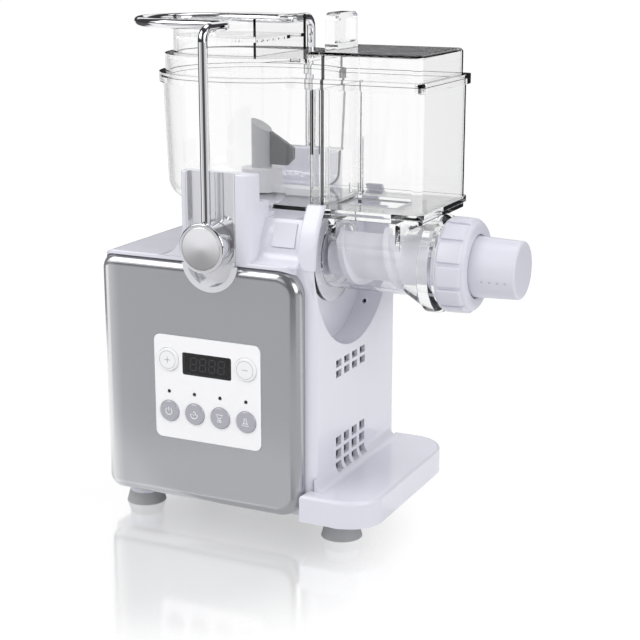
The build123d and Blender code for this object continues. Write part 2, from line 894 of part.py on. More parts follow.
def tact_switches():
    """One small switch behind each button."""
    bodies = []
    for name, x, z, radius in button_places():
        half = switch_side / 2
        front = board_front - switch_height
        base = block(x - half, x + half, front + switch_plunger, board_front, z - half, z + half)
        bodies.append(base + rod_y(switch_side / 4, front, board_front - 1, x, z))
    return group(bodies)


# ---------------------------------------------------------------- bail and knobs
def bail():
    """Chromed locking handle: two upright arms and a loop reaching left over the lid."""
    z = bail_plane
    radius = bail_strand_y
    bend_x = -bail_reach + radius
    foot = pivot_height + bail_seat
    arm = FilletPolyline(
        (0, -bail_arm_y, foot), (0, -bail_arm_y, z), (0, -bail_strand_y, z), (bend_x, -bail_strand_y, z),
        radius=bail_bend,
    )
    tip = ThreePointArc((bend_x, -radius, z), (-bail_reach, 0, z), (bend_x, radius, z))
    back = FilletPolyline(
        (bend_x, bail_strand_y, z), (0, bail_strand_y, z), (0, bail_arm_y, z), (0, bail_arm_y, foot),
        radius=bail_bend,
    )
    path = Wire(arm.edges() + tip.edges() + back.edges())
    section = Plane(origin=(0, -bail_arm_y, foot), z_dir=(0, 0, 1)) * Circle(bail_rod_radius)
    return sweep(section, path=path)


def knob(side):
    """Chromed hub with the rim of its face, bored for the arm and the pin."""
    hub = rod_y(hub_radius, -hub_front, -hub_back, 0, pivot_height)
    rim = rod_y(knob_rim_radius, -hub_front - knob_rim_depth, -hub_front, 0, pivot_height)
    rim = fillet(rim.edges().group_by(Axis.Y)[0], knob_rim_round)
    front = -hub_front - knob_rim_depth
    body = hub + rim
    body = body - rod_y(knob_face_radius + fit / 2, front - 1, front + knob_face_depth, 0, pivot_height)
    socket_bottom, socket_top_end = pivot_height + bail_seat, pivot_height + 2 * hub_radius
    body = body - rod_z(bail_rod_radius, socket_bottom, socket_top_end, 0, -bail_arm_y)
    body = body - rod_y(pin_radius, -pin_front, -hub_back + 1, 0, pivot_height)
    if side > 0:
        body = mirror(body, about=Plane.XZ)
    return body


def knob_cap(side):
    """Satin face let into the knob's rim."""
    front = -hub_front - knob_rim_depth
    cap = rod_y(knob_face_radius, front - knob_face_proud, front + knob_face_depth, 0, pivot_height)
    cap = fillet(cap.edges().group_by(Axis.Y)[0], knob_face_round)
    if side > 0:
        cap = mirror(cap, about=Plane.XZ)
    return cap


def pivot_pins():
    """The two pins that carry the bail in the horns."""
    return group(both_sides(rod_y(pin_radius, -pin_front, -pin_end, 0, pivot_height)))


# ---------------------------------------------------------------- mixing bowl
def bowl_plan(offset, left=0.0):
    """Plan of the hopper box, reaching left to the given x."""
    right = hopper_right + offset
    half = hopper_half_depth + offset
    outline = Pos((left + right) / 2, 0) * RectangleRounded(right - left, 2 * half, hopper_corner)
    return outline


def round_plan(radius):
    """Plan of the chamber: a circle round the mixing shaft, stretched towards the left."""
    return Pos(-bowl_stretch / 2, 0) * SlotCenterToCenter(bowl_stretch, 2 * radius)


def chamber(top_radius, base_radius, bottom, top, rounding):
    """Slightly tapered chamber with a rounded lower edge."""
    height = top - bottom
    drum = Pos(0, 0, (bottom + top) / 2) * Cone(base_radius, top_radius, height)
    between = make_face(Polyline(
        (-base_radius, bottom), (base_radius, bottom), (top_radius, top), (-top_radius, top), close=True
    ))
    body = drum + Pos(-bowl_stretch, 0, 0) * drum + slab_x(between, -bowl_stretch, 0)
    return fillet(body.edges().group_by(Axis.Z)[0], rounding)


def rim_plan(offset):
    """Plan of the rim: the round chamber joined to the box."""
    return round_plan(bowl_radius + offset) + bowl_plan(offset)


def mixing_bowl():
    """Clear chamber and hopper box in one moulding, open at the top."""
    outer = chamber(bowl_radius, bowl_base_radius, bowl_floor, bowl_rim, bowl_round)
    outer = outer + slab_z(bowl_plan(0.0, box_overlap), bowl_floor, bowl_rim)
    outer = outer + slab_z(rim_plan(rim_flange), bowl_rim - rim_thickness, bowl_rim)
    outer = outer + slab_z(bowl_plan(hopper_collar, box_overlap), bowl_floor, bowl_floor + rim_thickness)
    base_inner, round_inner = bowl_base_radius - clear_wall, bowl_round - clear_wall
    inner = chamber(bowl_inner, base_inner, floor_top, bowl_rim + 1, round_inner)
    inner = inner + slab_z(bowl_plan(-clear_wall, box_overlap), floor_top, bowl_rim + 1)
    bowl = outer - inner
    guide_top = bowl_rim - lid_lip - 1.0
    partition = block(
        partition_x, partition_x + clear_wall, -hopper_inner, hopper_inner, floor_top, guide_top
    )
    bowl = bowl + partition
    passage = block(
        partition_x - 1, partition_x + clear_wall + 1, -passage_half_width, passage_half_width,
        floor_top, floor_top + passage_height,
    )
    bowl = bowl - passage
    for side in (-1, 1):
        inner_y = shutter_width / 2 + shutter_gap
        low, high = sorted((side * inner_y, side * (inner_y + rail_width)))
        lip_left = shutter_right + shutter_gap
        lip_right = lip_left + rail_width
        rail = block(partition_x + clear_wall, lip_right, low, high, floor_top, guide_top)
        lip_low, lip_high = sorted((side * (inner_y - rail_width), side * (inner_y + rail_width)))
        lip = block(lip_left, lip_right, lip_low, lip_high, floor_top, guide_top)
        bowl = bowl + rail + lip
    outlet = block(
        outlet_left, outlet_right, -outlet_half_width, outlet_half_width, bowl_floor - 1, floor_top + 1
    )
    bowl = bowl - outlet
    bowl = bowl + rod_z(boss_radius, bowl_floor, floor_top + boss_height - clear_wall)
    bowl = bowl - rod_z(socket_radius + running_fit, bowl_floor - 1, floor_top + boss_height)
    return bowl


# ---------------------------------------------------------------- lid
def lid_solid(offset, top_round, drop):
    """The lid's two-level body, grown or shrunk by an offset, with its top dropped."""
    round_part = slab_z(round_plan(bowl_radius - lid_inset + offset), bowl_rim, lid_top - drop)
    left = slab_z(bowl_plan(offset - lid_inset, box_overlap), bowl_rim, lid_top - drop)
    box_part = slab_z(bowl_plan(offset - lid_inset, lid_step_x), bowl_rim, lid_box_top - drop)
    body = round_part + left + box_part
    if top_round:
        body = fillet(body.edges().group_by(Axis.Z)[-1], top_round)
    return body


def bowl_lid():
    """Clear lid over chamber and hopper, with the pouring hole and the shutter's slot."""
    flange = slab_z(rim_plan(rim_flange), bowl_rim, bowl_rim + lid_flange_thickness)
    outer = lid_solid(0.0, lid_round, 0.0) + flange
    room = lid_solid(-clear_wall, 0.0, clear_wall)
    room = room + slab_z(rim_plan(-lid_inset - clear_wall), bowl_rim - 1, bowl_rim + 1)
    lid = outer - room
    lip_bottom, lip_top = bowl_rim - lid_lip, bowl_rim + lid_lip / 2
    lip_ring = slab_z(rim_plan(-clear_wall - lip_gap), lip_bottom, lip_top)
    lip_ring = lip_ring - slab_z(rim_plan(-2 * clear_wall - lip_gap), lip_bottom - 1, lip_top + 1)
    lid = lid + lip_ring
    lid = lid - block(
        shutter_left - shutter_gap, shutter_right + shutter_gap,
        -shutter_width / 2 - shutter_gap, shutter_width / 2 + shutter_gap,
        bowl_rim - lid_lip - 1, lid_box_top + 1,
    )
    lid = lid - slab_z(tower_outline(-2 * clear_wall), lid_top - 2 * clear_wall, lid_top + 1)
    return lid


def tower_outline(offset):
    """D plan of the pouring tower."""
    radius = tower_radius + offset
    right = tower_right + offset
    straight = Pos((tower_x + right) / 2, 0) * Rectangle(right - tower_x, 2 * radius)
    return Pos(tower_x, 0) * Circle(radius) + straight


def inlet_tower():
    """Clear pouring tower with a slotted floor, standing on the lid."""
    tower = slab_z(tower_outline(0.0), lid_top, tower_top)
    tower = tower - slab_z(tower_outline(-clear_wall), tower_floor, tower_top + 1)
    tower = tower - slab_z(tower_outline(-clear_wall), lid_top - 1, tower_floor - clear_wall)
    slot_left, slot_right = tower_slots_x - tower_slot_length / 2, tower_slots_x + tower_slot_length / 2
    for index in range(tower_slots):
        low = (index - (tower_slots - 1) / 2) * tower_slot_pitch - tower_slot_width / 2
        tower = tower - block(
            slot_left, slot_right, low, low + tower_slot_width, tower_floor - clear_wall - 1, tower_floor + 1
        )
    return tower


def shutter():
    """Clear gate between chamber and hopper, with the tab that lifts it."""
    blade = block(
        shutter_left, shutter_right, -shutter_width / 2, shutter_width / 2, floor_top + fit, tab_bottom
    )
    outline = Pos(0, tab_bottom + tab_height / 2) * RectangleRounded(tab_width, tab_height, tab_corner)
    tab = slab_x(outline, shutter_middle - tab_thickness / 2, shutter_middle + tab_thickness / 2)
    foot = block(
        shutter_middle - tab_thickness / 2, shutter_middle + tab_thickness / 2, -tab_width / 2, tab_width / 2,
        tab_bottom, tab_bottom + tab_corner,
    )
    hollow = Pos(0, tab_bottom + tab_height / 2) * RectangleRounded(
        tab_width - 2 * tab_wall, tab_height - 2 * tab_wall, tab_corner - tab_wall
    )
    tab = tab + foot - slab_x(hollow, shutter_right, shutter_middle + tab_thickness)
    return blade + tab


# ---------------------------------------------------------------- barrel and what it holds
def extruder_barrel():
    """Clear barrel with the throat below the hopper, back flange, bell and threaded neck."""
    side = outlet_half_width + throat_wall
    throat = block(
        outlet_left - throat_wall, outlet_right + throat_wall, -side, side, barrel_height, bowl_floor - gasket
    )
    body = rod_x(barrel_radius, barrel_left, barrel_flange_left + 2, 0, barrel_height) + throat
    back_left = barrel_left - barrel_back_thickness
    body = body + rod_x(barrel_back_radius, back_left, barrel_left, 0, barrel_height)
    bell_start = barrel_flange_left - bell_length
    bell = Pos((bell_start + barrel_flange_left) / 2, 0, barrel_height) * Rot(0, 90, 0) * Cone(
        barrel_radius, barrel_flange_radius - 1, bell_length
    )
    body = body + bell
    body = body + rod_x(barrel_flange_radius, barrel_flange_left, barrel_flange_right, 0, barrel_height)
    body = body + rod_x(barrel_neck_radius, barrel_flange_right, neck_end, 0, barrel_height)
    seat = bowl_floor - gasket
    body = body + slab_z(bowl_plan(0.0, outlet_left - throat_wall), seat - throat_flange, seat)
    bore = rod_x(barrel_bore, barrel_left, neck_end + 1, 0, barrel_height)
    inlet = block(
        outlet_left, outlet_right, -outlet_half_width, outlet_half_width, barrel_height, bowl_floor + 1
    )
    body = body - bore - inlet
    shaft_hole = 2 * shaft_radius
    return body - rod_x(shaft_hole, back_left - 1, barrel_left + 1, 0, barrel_height)


def hopper_gasket():
    """Soft frame between the bowl's outlet and the barrel's throat."""
    inner_half, side = outlet_half_width, outlet_half_width + throat_wall
    outer = block(
        outlet_left - throat_wall, outlet_right + throat_wall, -side, side, bowl_floor - gasket, bowl_floor
    )
    low, high = bowl_floor - 3 * gasket, bowl_floor + 1
    return outer - block(outlet_left, outlet_right, -inner_half, inner_half, low, high)


def auger():
    """White feed screw, driven by a square socket in its rear end."""
    left = barrel_left + auger_gap
    right = die_left - auger_gap
    core = rod_x(auger_core_radius, left, right, 0, barrel_height)
    turns_length = right - left - 2 * flight_thickness
    helix = Helix(pitch=auger_pitch, height=turns_length, radius=auger_core_radius)
    path = Plane(origin=(left + flight_thickness, 0, barrel_height), z_dir=(1, 0, 0)) * helix
    start = path @ 0
    outward = Vector(0, start.Y, start.Z - barrel_height).normalized()
    section_plane = Plane(origin=start, z_dir=path % 0, x_dir=outward)
    depth = auger_radius - auger_core_radius
    section = section_plane * Pos(depth / 2, 0) * Rectangle(depth + running_fit, flight_thickness)
    flight = sweep(section, path=path, is_frenet=True)
    rim = rod_x(auger_radius, left, right, 0, barrel_height)
    body = core + (flight & rim)
    half = drive_square / 2 + fit
    low, high = barrel_height - half, barrel_height + half
    return body - block(left - 1, left + socket_depth, -half, half, low, high)


def die_disc():
    """Shaping disc with a ring of round holes."""
    disc = rod_x(die_radius, die_left, die_right, 0, barrel_height)
    for index in range(die_holes):
        angle = 2 * pi * index / die_holes
        y = die_hole_circle * cos(angle)
        z = barrel_height + die_hole_circle * sin(angle)
        disc = disc - rod_x(die_hole_radius, die_left - 1, die_right + 1, y, z)
    return disc - rod_x(die_hole_radius, die_left - 1, die_right + 1, 0, barrel_height)


def die_cap():
    """White tapered cap over the die, held by the ring nut."""
    body_length = cap_end - cap_left
    taper = Rot(0, 90, 0) * Cone(cap_radius, cap_tip_radius, body_length)
    body = Pos((cap_left + cap_end) / 2, 0, barrel_height) * taper
    body = fillet(body.edges().group_by(Axis.X)[-1], cap_round)
    body = body + rod_x(cap_flange_radius, cap_left, cap_left + cap_flange_depth, 0, barrel_height)
    return body - rod_x(cap_tip_radius - cap_wall, cap_left - 1, cap_end - cap_wall, 0, barrel_height)


def ring_nut():
    """White nut with wide lugs that clamps cap and die to the barrel's neck."""
    nut = rod_x(nut_radius, nut_left, nut_right, 0, barrel_height)
    ends = nut.edges().filter_by(GeomType.CIRCLE).sort_by(Axis.X)
    nut = fillet(ends[0], nut_round)
    nut = fillet(nut.edges().filter_by(GeomType.CIRCLE).sort_by(Axis.X)[-1], nut_face_round)
    for index in range(nut_lugs):
        angle = radians(nut_groove_start + 360.0 * index / nut_lugs)
        y = nut_groove_circle * cos(angle)
        z = barrel_height + nut_groove_circle * sin(angle)
        nut = nut - rod_x(nut_groove_radius, nut_left + nut_lip, nut_right - nut_face_round, y, z)
    nut = nut - rod_x(barrel_neck_radius + nut_clearance, nut_left - 1, nut_right - nut_lip, 0, barrel_height)
    nut = nut - rod_x(nut_bore, nut_left, nut_right + 1, 0, barrel_height)
    return nut


# ---------------------------------------------------------------- drive train
def tooth(radius, addendum, dedendum, teeth, share):
    """One tooth of a spur gear, pointing along X, with straight flanks."""
    half_angle = pi * share / teeth
    half_width = radius * sin(half_angle)
    depth = dedendum + tooth_root
    root = radius - depth
    tip = radius + addendum
    root_half = half_width + tooth_flank * depth
    tip_half = half_width - tooth_flank * addendum
    return Polygon((root, -root_half), (tip, -tip_half), (tip, tip_half), (root, root_half), align=None)


def spur_gear(teeth, face, bore, start_angle=0.0):
    """A spur gear in the XY plane, its face running up from Z zero."""
    radius = gear_module * teeth / 2
    outline = Circle(radius - gear_dedendum)
    for index in range(teeth):
        angle = start_angle + 360.0 * index / teeth
        outline = outline + Rot(0, 0, angle) * tooth(radius, gear_addendum, gear_dedendum, teeth, tooth_share)
    outline = outline - Circle(bore)
    return extrude(outline, amount=face)


def bevel_tooth(scale):
    """One end face of a bevel tooth; the pitch cone's apex is the origin."""
    pitch = Vector(bevel_radius, 0, bevel_radius) * scale
    outward = Vector(1, 0, -1) * (scale / sqrt(2))
    half = bevel_radius * sin(pi * bevel_tooth_share / bevel_teeth) * scale
    low = bevel_dedendum + tooth_root
    root_half = half + tooth_flank * low * scale
    tip_half = half - tooth_flank * bevel_addendum * scale
    root = pitch - outward * low
    tip = pitch + outward * bevel_addendum
    across = Vector(0, 1, 0)
    root_side, tip_side = across * root_half, across * tip_half
    corners = [root - root_side, tip - tip_side, tip + tip_side, root + root_side]
    return Face(Wire.make_polygon(corners, close=True))


def bevel_gear_body(bore, start_angle):
    """A 45 degree bevel gear about Z, its apex at the origin and its back upwards."""
    inner_scale = 1 - bevel_face / (bevel_radius * sqrt(2))
    drop = bevel_dedendum / sqrt(2)
    outer_r = bevel_radius - drop
    outer_z = bevel_radius + drop
    hub = bore + bush_wall + 1.0
    back, end = outer_z + bevel_dedendum, outer_z + bevel_hub
    profile = Polygon(
        (bore, outer_z * inner_scale), (outer_r * inner_scale, outer_z * inner_scale), (outer_r, outer_z),
        (outer_r, back), (hub, back), (hub, end), (bore, end), align=None,
    )
    body = revolve(Plane.XZ * profile, axis=Axis.Z)
    for index in range(bevel_teeth):
        angle = start_angle + 360.0 * index / bevel_teeth
        one = loft([bevel_tooth(1.0), bevel_tooth(inner_scale)], ruled=True)
        body = body + Rot(0, 0, angle) * one
    return body - rod_z(bore, -1, 3 * bevel_radius)


def bevel_gear():
    """Bevel gear on the mixing shaft, above the crossing point."""
    return Pos(0, 0, barrel_height) * bevel_gear_body(shaft_radius, 0.0)


def bevel_pinion():
    """Bevel gear on the auger's shaft, right of the crossing point."""
    half_pitch = 180.0 / bevel_teeth
    return Pos(0, 0, barrel_height) * Rot(0, 90, 0) * bevel_gear_body(shaft_radius, half_pitch)


def auger_gear():
    """Large spur gear on the auger's shaft."""
    gear = spur_gear(auger_gear_teeth, gear_face, shaft_radius)
    return Pos(gear_left, 0, barrel_height) * Rot(0, 90, 0) * gear


def motor_pinion():
    """Spur pinion on the motor's shaft."""
    wider = gear_face + 2 * pinion_overhang
    gear = spur_gear(motor_pinion_teeth, wider, shaft_radius, 180.0 / motor_pinion_teeth)
    return Pos(gear_left - pinion_overhang, 0, motor_height) * Rot(0, 90, 0) * gear


def auger_shaft():
    """Steel shaft from the bevel pinion through the right wall into the auger."""
    start = bevel_radius * (1 - bevel_face / (bevel_radius * sqrt(2)))
    shaft = rod_x(shaft_radius, start, barrel_left + 1.0, 0, barrel_height)
    half = drive_square / 2
    end = barrel_left + auger_gap + socket_depth - socket_gap
    return shaft + block(barrel_left, end, -half, half, barrel_height - half, barrel_height + half)


def mixer_shaft():
    """Steel shaft from the gearbox floor up into the paddle's socket."""
    shaft = rod_z(shaft_radius, case_floor + fit, bowl_floor)
    half = drive_square / 2
    return shaft + block(-half, half, -half, half, bowl_floor - 1, bowl_floor + mixer_square)


def motor_can():
    """Motor body with its end caps."""
    left = case_right - motor_length
    can = rod_x(motor_radius, left, case_right, 0, motor_height)
    can = fillet(can.edges().filter_by(GeomType.CIRCLE), motor_round)
    return can - rod_x(shaft_radius + running_fit, left - 1, case_right + 1, 0, motor_height)


def motor_shaft():
    """Motor shaft from the fan to the pinion."""
    left = case_right - motor_length - fan_depth - fan_gap - shaft_overhang
    right = gear_left + gear_face + shaft_overhang
    return rod_x(shaft_radius, left, right, 0, motor_height)


def motor_fan():
    """Cooling fan behind the motor."""
    left = case_right - motor_length - fan_depth - fan_gap
    fan = rod_x(fan_hub_radius, left, left + fan_depth, 0, motor_height)
    half = fan_blade / 2
    for index in range(fan_blades):
        blade = block(left, left + fan_depth, -half, half, shaft_radius + 1, fan_radius)
        fan = fan + Pos(0, 0, motor_height) * Rot(360.0 * index / fan_blades, 0, 0) * blade
    return fan - rod_x(shaft_radius, left - 1, left + fan_depth + 1, 0, motor_height)


def motor_bracket():
    """Sheet bracket that carries motor and gearbox on the base."""
    right = case_right + bracket_thickness
    sheet = block(case_right, right, -bracket_half_width, bracket_half_width, base_top, case_top)
    half, foot_top = bracket_half_width, base_top + bracket_thickness
    foot = block(right - 1, right + bracket_foot, -half, half, base_top, foot_top)
    bracket = sheet + foot
    bracket = bracket - rod_x(shaft_radius + bush_wall, case_right - 1, right + 1, 0, barrel_height)
    bracket = bracket - rod_x(2 * shaft_radius, case_right - 1, right + 1, 0, motor_height)
    for y, z in motor_screw_places():
        bracket = bracket - rod_x(screw_radius + fit, case_right - 1, right + 1, y, z)
    return bracket


def motor_screw_places():
    """Places of the four screws that hold the motor to the bracket."""
    reach = motor_screw_reach / sqrt(2)
    return [(i * reach, motor_height + j * reach) for i in (-1, 1) for j in (-1, 1)]


def gearbox_case():
    """Cast case around the bevel gears, open at the top."""
    case = block(-case_left, case_right, -case_half_depth, case_half_depth, case_floor, case_top)
    room = block(
        -case_left + case_wall, case_right - case_wall,
        -case_half_depth + case_wall, case_half_depth - case_wall,
        case_floor + case_wall, case_top + 1,
    )
    case = case - room
    for x, y in case_screw_places():
        case = case + rod_z(case_post, case_floor, case_top, x, y)
        case = case - rod_z(screw_radius, case_top - case_screw_hole, case_top + 1, x, y)
    bush_hole_left = case_right - 2 * case_wall
    case = case - rod_x(shaft_radius + bush_wall, bush_hole_left, case_right + 1, 0, barrel_height)
    case = case + rod_z(shaft_radius + 2 * bush_wall, case_floor, case_floor + case_wall)
    case = case - rod_z(shaft_radius + running_fit, case_floor - 1, case_floor + 2 * case_wall)
    return case


def case_screw_places():
    """Places of the gearbox cover's four screws."""
    left = -case_left + case_post
    right = case_right - case_post
    half = case_half_depth - case_post
    return [(x, y) for x in (left, right) for y in (-half, half)]


def gearbox_cover():
    """Flat cover of the gearbox with the upper bearing seat."""
    top = case_top + cover_thickness
    cover = block(-case_left, case_right, -case_half_depth, case_half_depth, case_top, top)
    cover = cover - rod_z(shaft_radius + bush_wall, case_top - 1, top + 1)
    for x, y in case_screw_places():
        cover = cover - rod_z(screw_radius + fit, case_top - 1, top + 1, x, y)
    return cover


def drive_screws():
    """Screws of the gearbox cover, and of the motor behind its bracket."""
    top = case_top + cover_thickness
    screws = [Pos(x, y, 0) * screw(top, case_top - case_screw_length) for x, y in case_screw_places()]
    right = case_right + bracket_thickness
    for y, z in motor_screw_places():
        screws.append(Pos(0, y, z) * Rot(0, 90, 0) * screw(right, case_right, motor_screw_head))
    return group(screws)


def bush(length):
    """A plain bearing bush about Z, from zero upwards."""
    return rod_z(shaft_radius + bush_wall, 0, length) - rod_z(shaft_radius + running_fit, -1, length + 1)


def shaft_bushes():
    """Bushes of the auger's shaft and the mixing shaft."""
    wall_bush = Pos(trough_back - wall, 0, barrel_height) * Rot(0, 90, 0) * bush(wall)
    through_bracket = Rot(0, 90, 0) * bush(case_wall + bracket_thickness)
    bracket_bush = Pos(case_right - case_wall, 0, barrel_height) * through_bracket
    cover_bush = Pos(0, 0, case_top) * bush(cover_thickness)
    return group([wall_bush, bracket_bush, cover_bush])


def shaft_seals():
    """The mixing shaft's lip seal in the turret and the ring under the bowl's floor."""
    lip = rod_z(shaft_radius + lip_seal_width, turret_top - wall, turret_top)
    lip = lip - rod_z(shaft_radius + running_fit, turret_top - wall - 1, turret_top + 1)
    ring = rod_z(boss_radius, turret_top, bowl_floor)
    ring = ring - rod_z(socket_radius + running_fit, turret_top - 1, bowl_floor + 1)
    return group([lip, ring])


# ---------------------------------------------------------------- mixing tool
def paddle_socket():
    """Clear coupling in the bowl's boss: square socket below, square head above."""
    head_bottom = socket_top - socket_head
    neck = rod_z(socket_radius, bowl_floor + fit, head_bottom + 1)
    half = socket_head_side / 2
    head = block(-half, half, -half, half, head_bottom, socket_top)
    room = drive_square / 2 + fit
    recess = block(-room, room, -room, room, bowl_floor - 1, bowl_floor + mixer_square + 2 * fit)
    return neck + head - recess


def mixing_paddle():
    """Grey paddle: hub with a slanted top, tall fin and low stirring arms."""
    bottom = floor_top + boss_height + paddle_gap
    low = floor_top + 2 * paddle_gap
    hub = rod_z(paddle_hub_radius, bottom, paddle_top)
    reach = paddle_fin_reach
    fin_low = bottom + paddle_fin_rise
    outline = Polygon(
        (0, fin_low), (reach - paddle_fin_chamfer, fin_low), (reach, fin_low + paddle_fin_chamfer),
        (reach, paddle_top - paddle_fin_slope), (paddle_hub_radius, paddle_top), (0, paddle_top), align=None,
    )
    fin = slab_y(outline, -paddle_fin_width / 2, paddle_fin_width / 2)
    arm_plan = SlotCenterToCenter(2 * paddle_arm_reach - paddle_arm_width, paddle_arm_width)
    arm = slab_z(arm_plan, low, low + paddle_arm_height)
    skirt = rod_z(boss_radius + paddle_skirt, low, bottom + paddle_skirt)
    paddle = arm + skirt + hub + fin
    paddle = paddle - rod_z(boss_radius + paddle_gap, floor_top, bottom)
    side = 2 * paddle_arm_reach
    above = Box(side, side, side, align=(Align.MIN, Align.CENTER, Align.MIN))
    paddle = paddle - Pos(-paddle_hub_radius, 0, paddle_top) * Rot(0, paddle_top_angle, 0) * above
    half = socket_head_side / 2 + fit
    return paddle - block(-half, half, -half, half, bottom - 1, socket_top + fit)


# ---------------------------------------------------------------- electrics
def power_board():
    """Power supply board with transformer, relay and capacitor."""
    left, right = board_posts[0][0] - board_margin, board_posts[-1][0] + board_margin
    half = board_posts[-1][1] + board_margin
    bottom = base_top + post_height
    top = bottom + board_thickness
    middle = (left + right) / 2
    board = block(left, right, -half, half, bottom, top)
    coil, relay = transformer_side / 2, relay_side / 2
    board = board + block(middle - coil, middle + coil, -coil, coil, top, top + transformer_height)
    relay_y = -half + board_margin + relay_side
    board = board + block(
        right - board_margin - relay_side, right - board_margin, relay_y - relay, relay_y + relay,
        top, top + relay_height,
    )
    capacitor_x, capacitor_y = right - 2 * capacitor_radius, capacitor_radius
    board = board + rod_z(capacitor_radius, top, top + capacitor_height, capacitor_x, capacitor_y)
    for x, y in board_posts:
        board = board - rod_z(screw_radius + fit, bottom - 1, top + 1, x, y)
    return board


def power_inlet():
    """Mains inlet in the rear cover: a socket with two pins."""
    half_w, half_h = inlet_width / 2, inlet_height / 2
    low, high = inlet_z - half_h, inlet_z + half_h
    body = block(inlet_x - half_w, inlet_x + half_w, half_depth - inlet_depth, half_depth, low, high)
    flange = half_depth - panel_skin
    lip_left, lip_right = inlet_x - half_w - wall, inlet_x + half_w + wall
    body = body + block(lip_left, lip_right, flange - inlet_lip, flange, low, high)
    room = Pos(inlet_x, inlet_z) * SlotOverall(socket_width, socket_height)
    body = body - slab_y(room, half_depth - socket_room, half_depth + 1)
    for side in (-1, 1):
        x = inlet_x + side * contact_pitch / 2
        body = body + rod_y(contact_radius, half_depth - socket_room - 1, half_depth - wall, x, inlet_z)
    return body


def cover_block(grow, above):
    """The switch cover's block, square to the turret's surface and standing out by the given height."""
    half = cover_side / 2 + grow
    plate = block(-half, half, -turret_radius - above, -turret_radius + cover_depth + grow, -half, half)
    return Pos(cover_x, 0, barrel_height) * Rot(-cover_angle, 0, 0) * plate


def switch_cover():
    """Square cover of the safety switch on the turret's front."""
    cover = cover_block(0.0, cover_proud)
    return fillet(cover.faces().sort_by(Axis.Y)[0].edges(), cover_round)


def safety_switch():
    """Switch that stops the drive while the bowl is off."""
    back = -turret_half_depth + wall
    middle, half = cover_x - micro_switch_offset, micro_switch_width / 2
    top = turret_top - 2 * wall
    return block(
        middle - half, middle + half, back, back + micro_switch_depth, top - micro_switch_height, top
    )


def build_all():
    """Every node's name and shape, before the common move along X."""
    nodes = {
        "main_housing": main_housing(),
        "front_fascia": front_fascia(),
        "rear_cover": rear_cover(),
        "front_pivot_liner": pivot_liner(-1),
        "rear_pivot_liner": pivot_liner(1),
        "base_plate": base_plate(),
        "foot_discs": foot_discs(),
        "suction_feet": suction_feet(),
        "foot_screws": foot_screws(),
        "panel_screws": panel_screws(),
        "control_plate": control_plate(),
        "display_window": display_window(),
        "display_module": display_module(),
        "led_lenses": led_lenses(),
        "control_board": control_board(),
        "board_screws": board_screws(),
        "tact_switches": tact_switches(),
        "bail": bail(),
        "front_knob": knob(-1),
        "rear_knob": knob(1),
        "front_knob_cap": knob_cap(-1),
        "rear_knob_cap": knob_cap(1),
        "pivot_pins": pivot_pins(),
        "mixing_bowl": mixing_bowl(),
        "bowl_lid": bowl_lid(),
        "inlet_tower": inlet_tower(),
        "shutter": shutter(),
        "extruder_barrel": extruder_barrel(),
        "hopper_gasket": hopper_gasket(),
        "auger": auger(),
        "die_disc": die_disc(),
        "die_cap": die_cap(),
        "ring_nut": ring_nut(),
        "bevel_gear": bevel_gear(),
        "bevel_pinion": bevel_pinion(),
        "auger_gear": auger_gear(),
        "motor_pinion": motor_pinion(),
        "auger_shaft": auger_shaft(),
        "mixer_shaft": mixer_shaft(),
        "motor_can": motor_can(),
        "motor_shaft": motor_shaft(),
        "motor_fan": motor_fan(),
        "motor_bracket": motor_bracket(),
        "gearbox_case": gearbox_case(),
        "gearbox_cover": gearbox_cover(),
        "drive_screws": drive_screws(),
        "shaft_bushes": shaft_bushes(),
        "shaft_seals": shaft_seals(),
        "paddle_socket": paddle_socket(),
        "mixing_paddle": mixing_paddle(),
        "power_board": power_board(),
        "power_inlet": power_inlet(),
        "switch_cover": switch_cover(),
        "safety_switch": safety_switch(),
    }
    for name, x, z, radius in button_places():
        nodes[name] = button(x, z, radius)
    return nodes


if __name__ == "__main__":
    os.makedirs("parts", exist_ok=True)
    for name, shape in build_all().items():
        export_step(Pos(machine_shift, 0, 0) * shape, f"parts/{name}.step")
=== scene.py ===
"""Dressed model of an electric pasta maker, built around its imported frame.

Every length is in metres. The front faces -Y, the dough leaves towards +X, and Z is up.
"""

from __future__ import annotations

import logging
import math
from dataclasses import dataclass, field
from enum import Enum
from typing import Any, Sequence

import bmesh
import bpy
from mathutils import Euler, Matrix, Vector

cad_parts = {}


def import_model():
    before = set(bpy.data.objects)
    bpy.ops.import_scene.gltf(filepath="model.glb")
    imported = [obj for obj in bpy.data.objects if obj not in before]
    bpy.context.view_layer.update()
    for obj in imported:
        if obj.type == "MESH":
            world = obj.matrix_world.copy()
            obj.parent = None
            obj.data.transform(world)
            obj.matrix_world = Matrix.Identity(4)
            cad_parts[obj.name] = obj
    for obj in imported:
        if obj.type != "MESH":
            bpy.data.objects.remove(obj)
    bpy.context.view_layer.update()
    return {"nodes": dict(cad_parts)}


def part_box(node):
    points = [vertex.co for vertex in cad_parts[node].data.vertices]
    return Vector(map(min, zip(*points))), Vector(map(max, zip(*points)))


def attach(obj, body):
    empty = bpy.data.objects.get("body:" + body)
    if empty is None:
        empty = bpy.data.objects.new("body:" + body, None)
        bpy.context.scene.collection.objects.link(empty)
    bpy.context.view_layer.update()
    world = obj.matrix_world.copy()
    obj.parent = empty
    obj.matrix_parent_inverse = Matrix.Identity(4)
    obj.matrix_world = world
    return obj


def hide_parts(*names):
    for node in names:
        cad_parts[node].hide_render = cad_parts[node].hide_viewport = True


LOG = logging.getLogger("pasta_maker")
MM = 0.001

Colour = tuple[float, float, float]
Place = tuple[float, float, float]
Point = tuple[float, float]
Node = bpy.types.Node
Socket = bpy.types.NodeSocket
Tree = bpy.types.NodeTree
BMesh = bmesh.types.BMesh

WHITE: Colour = (1.0, 1.0, 1.0)


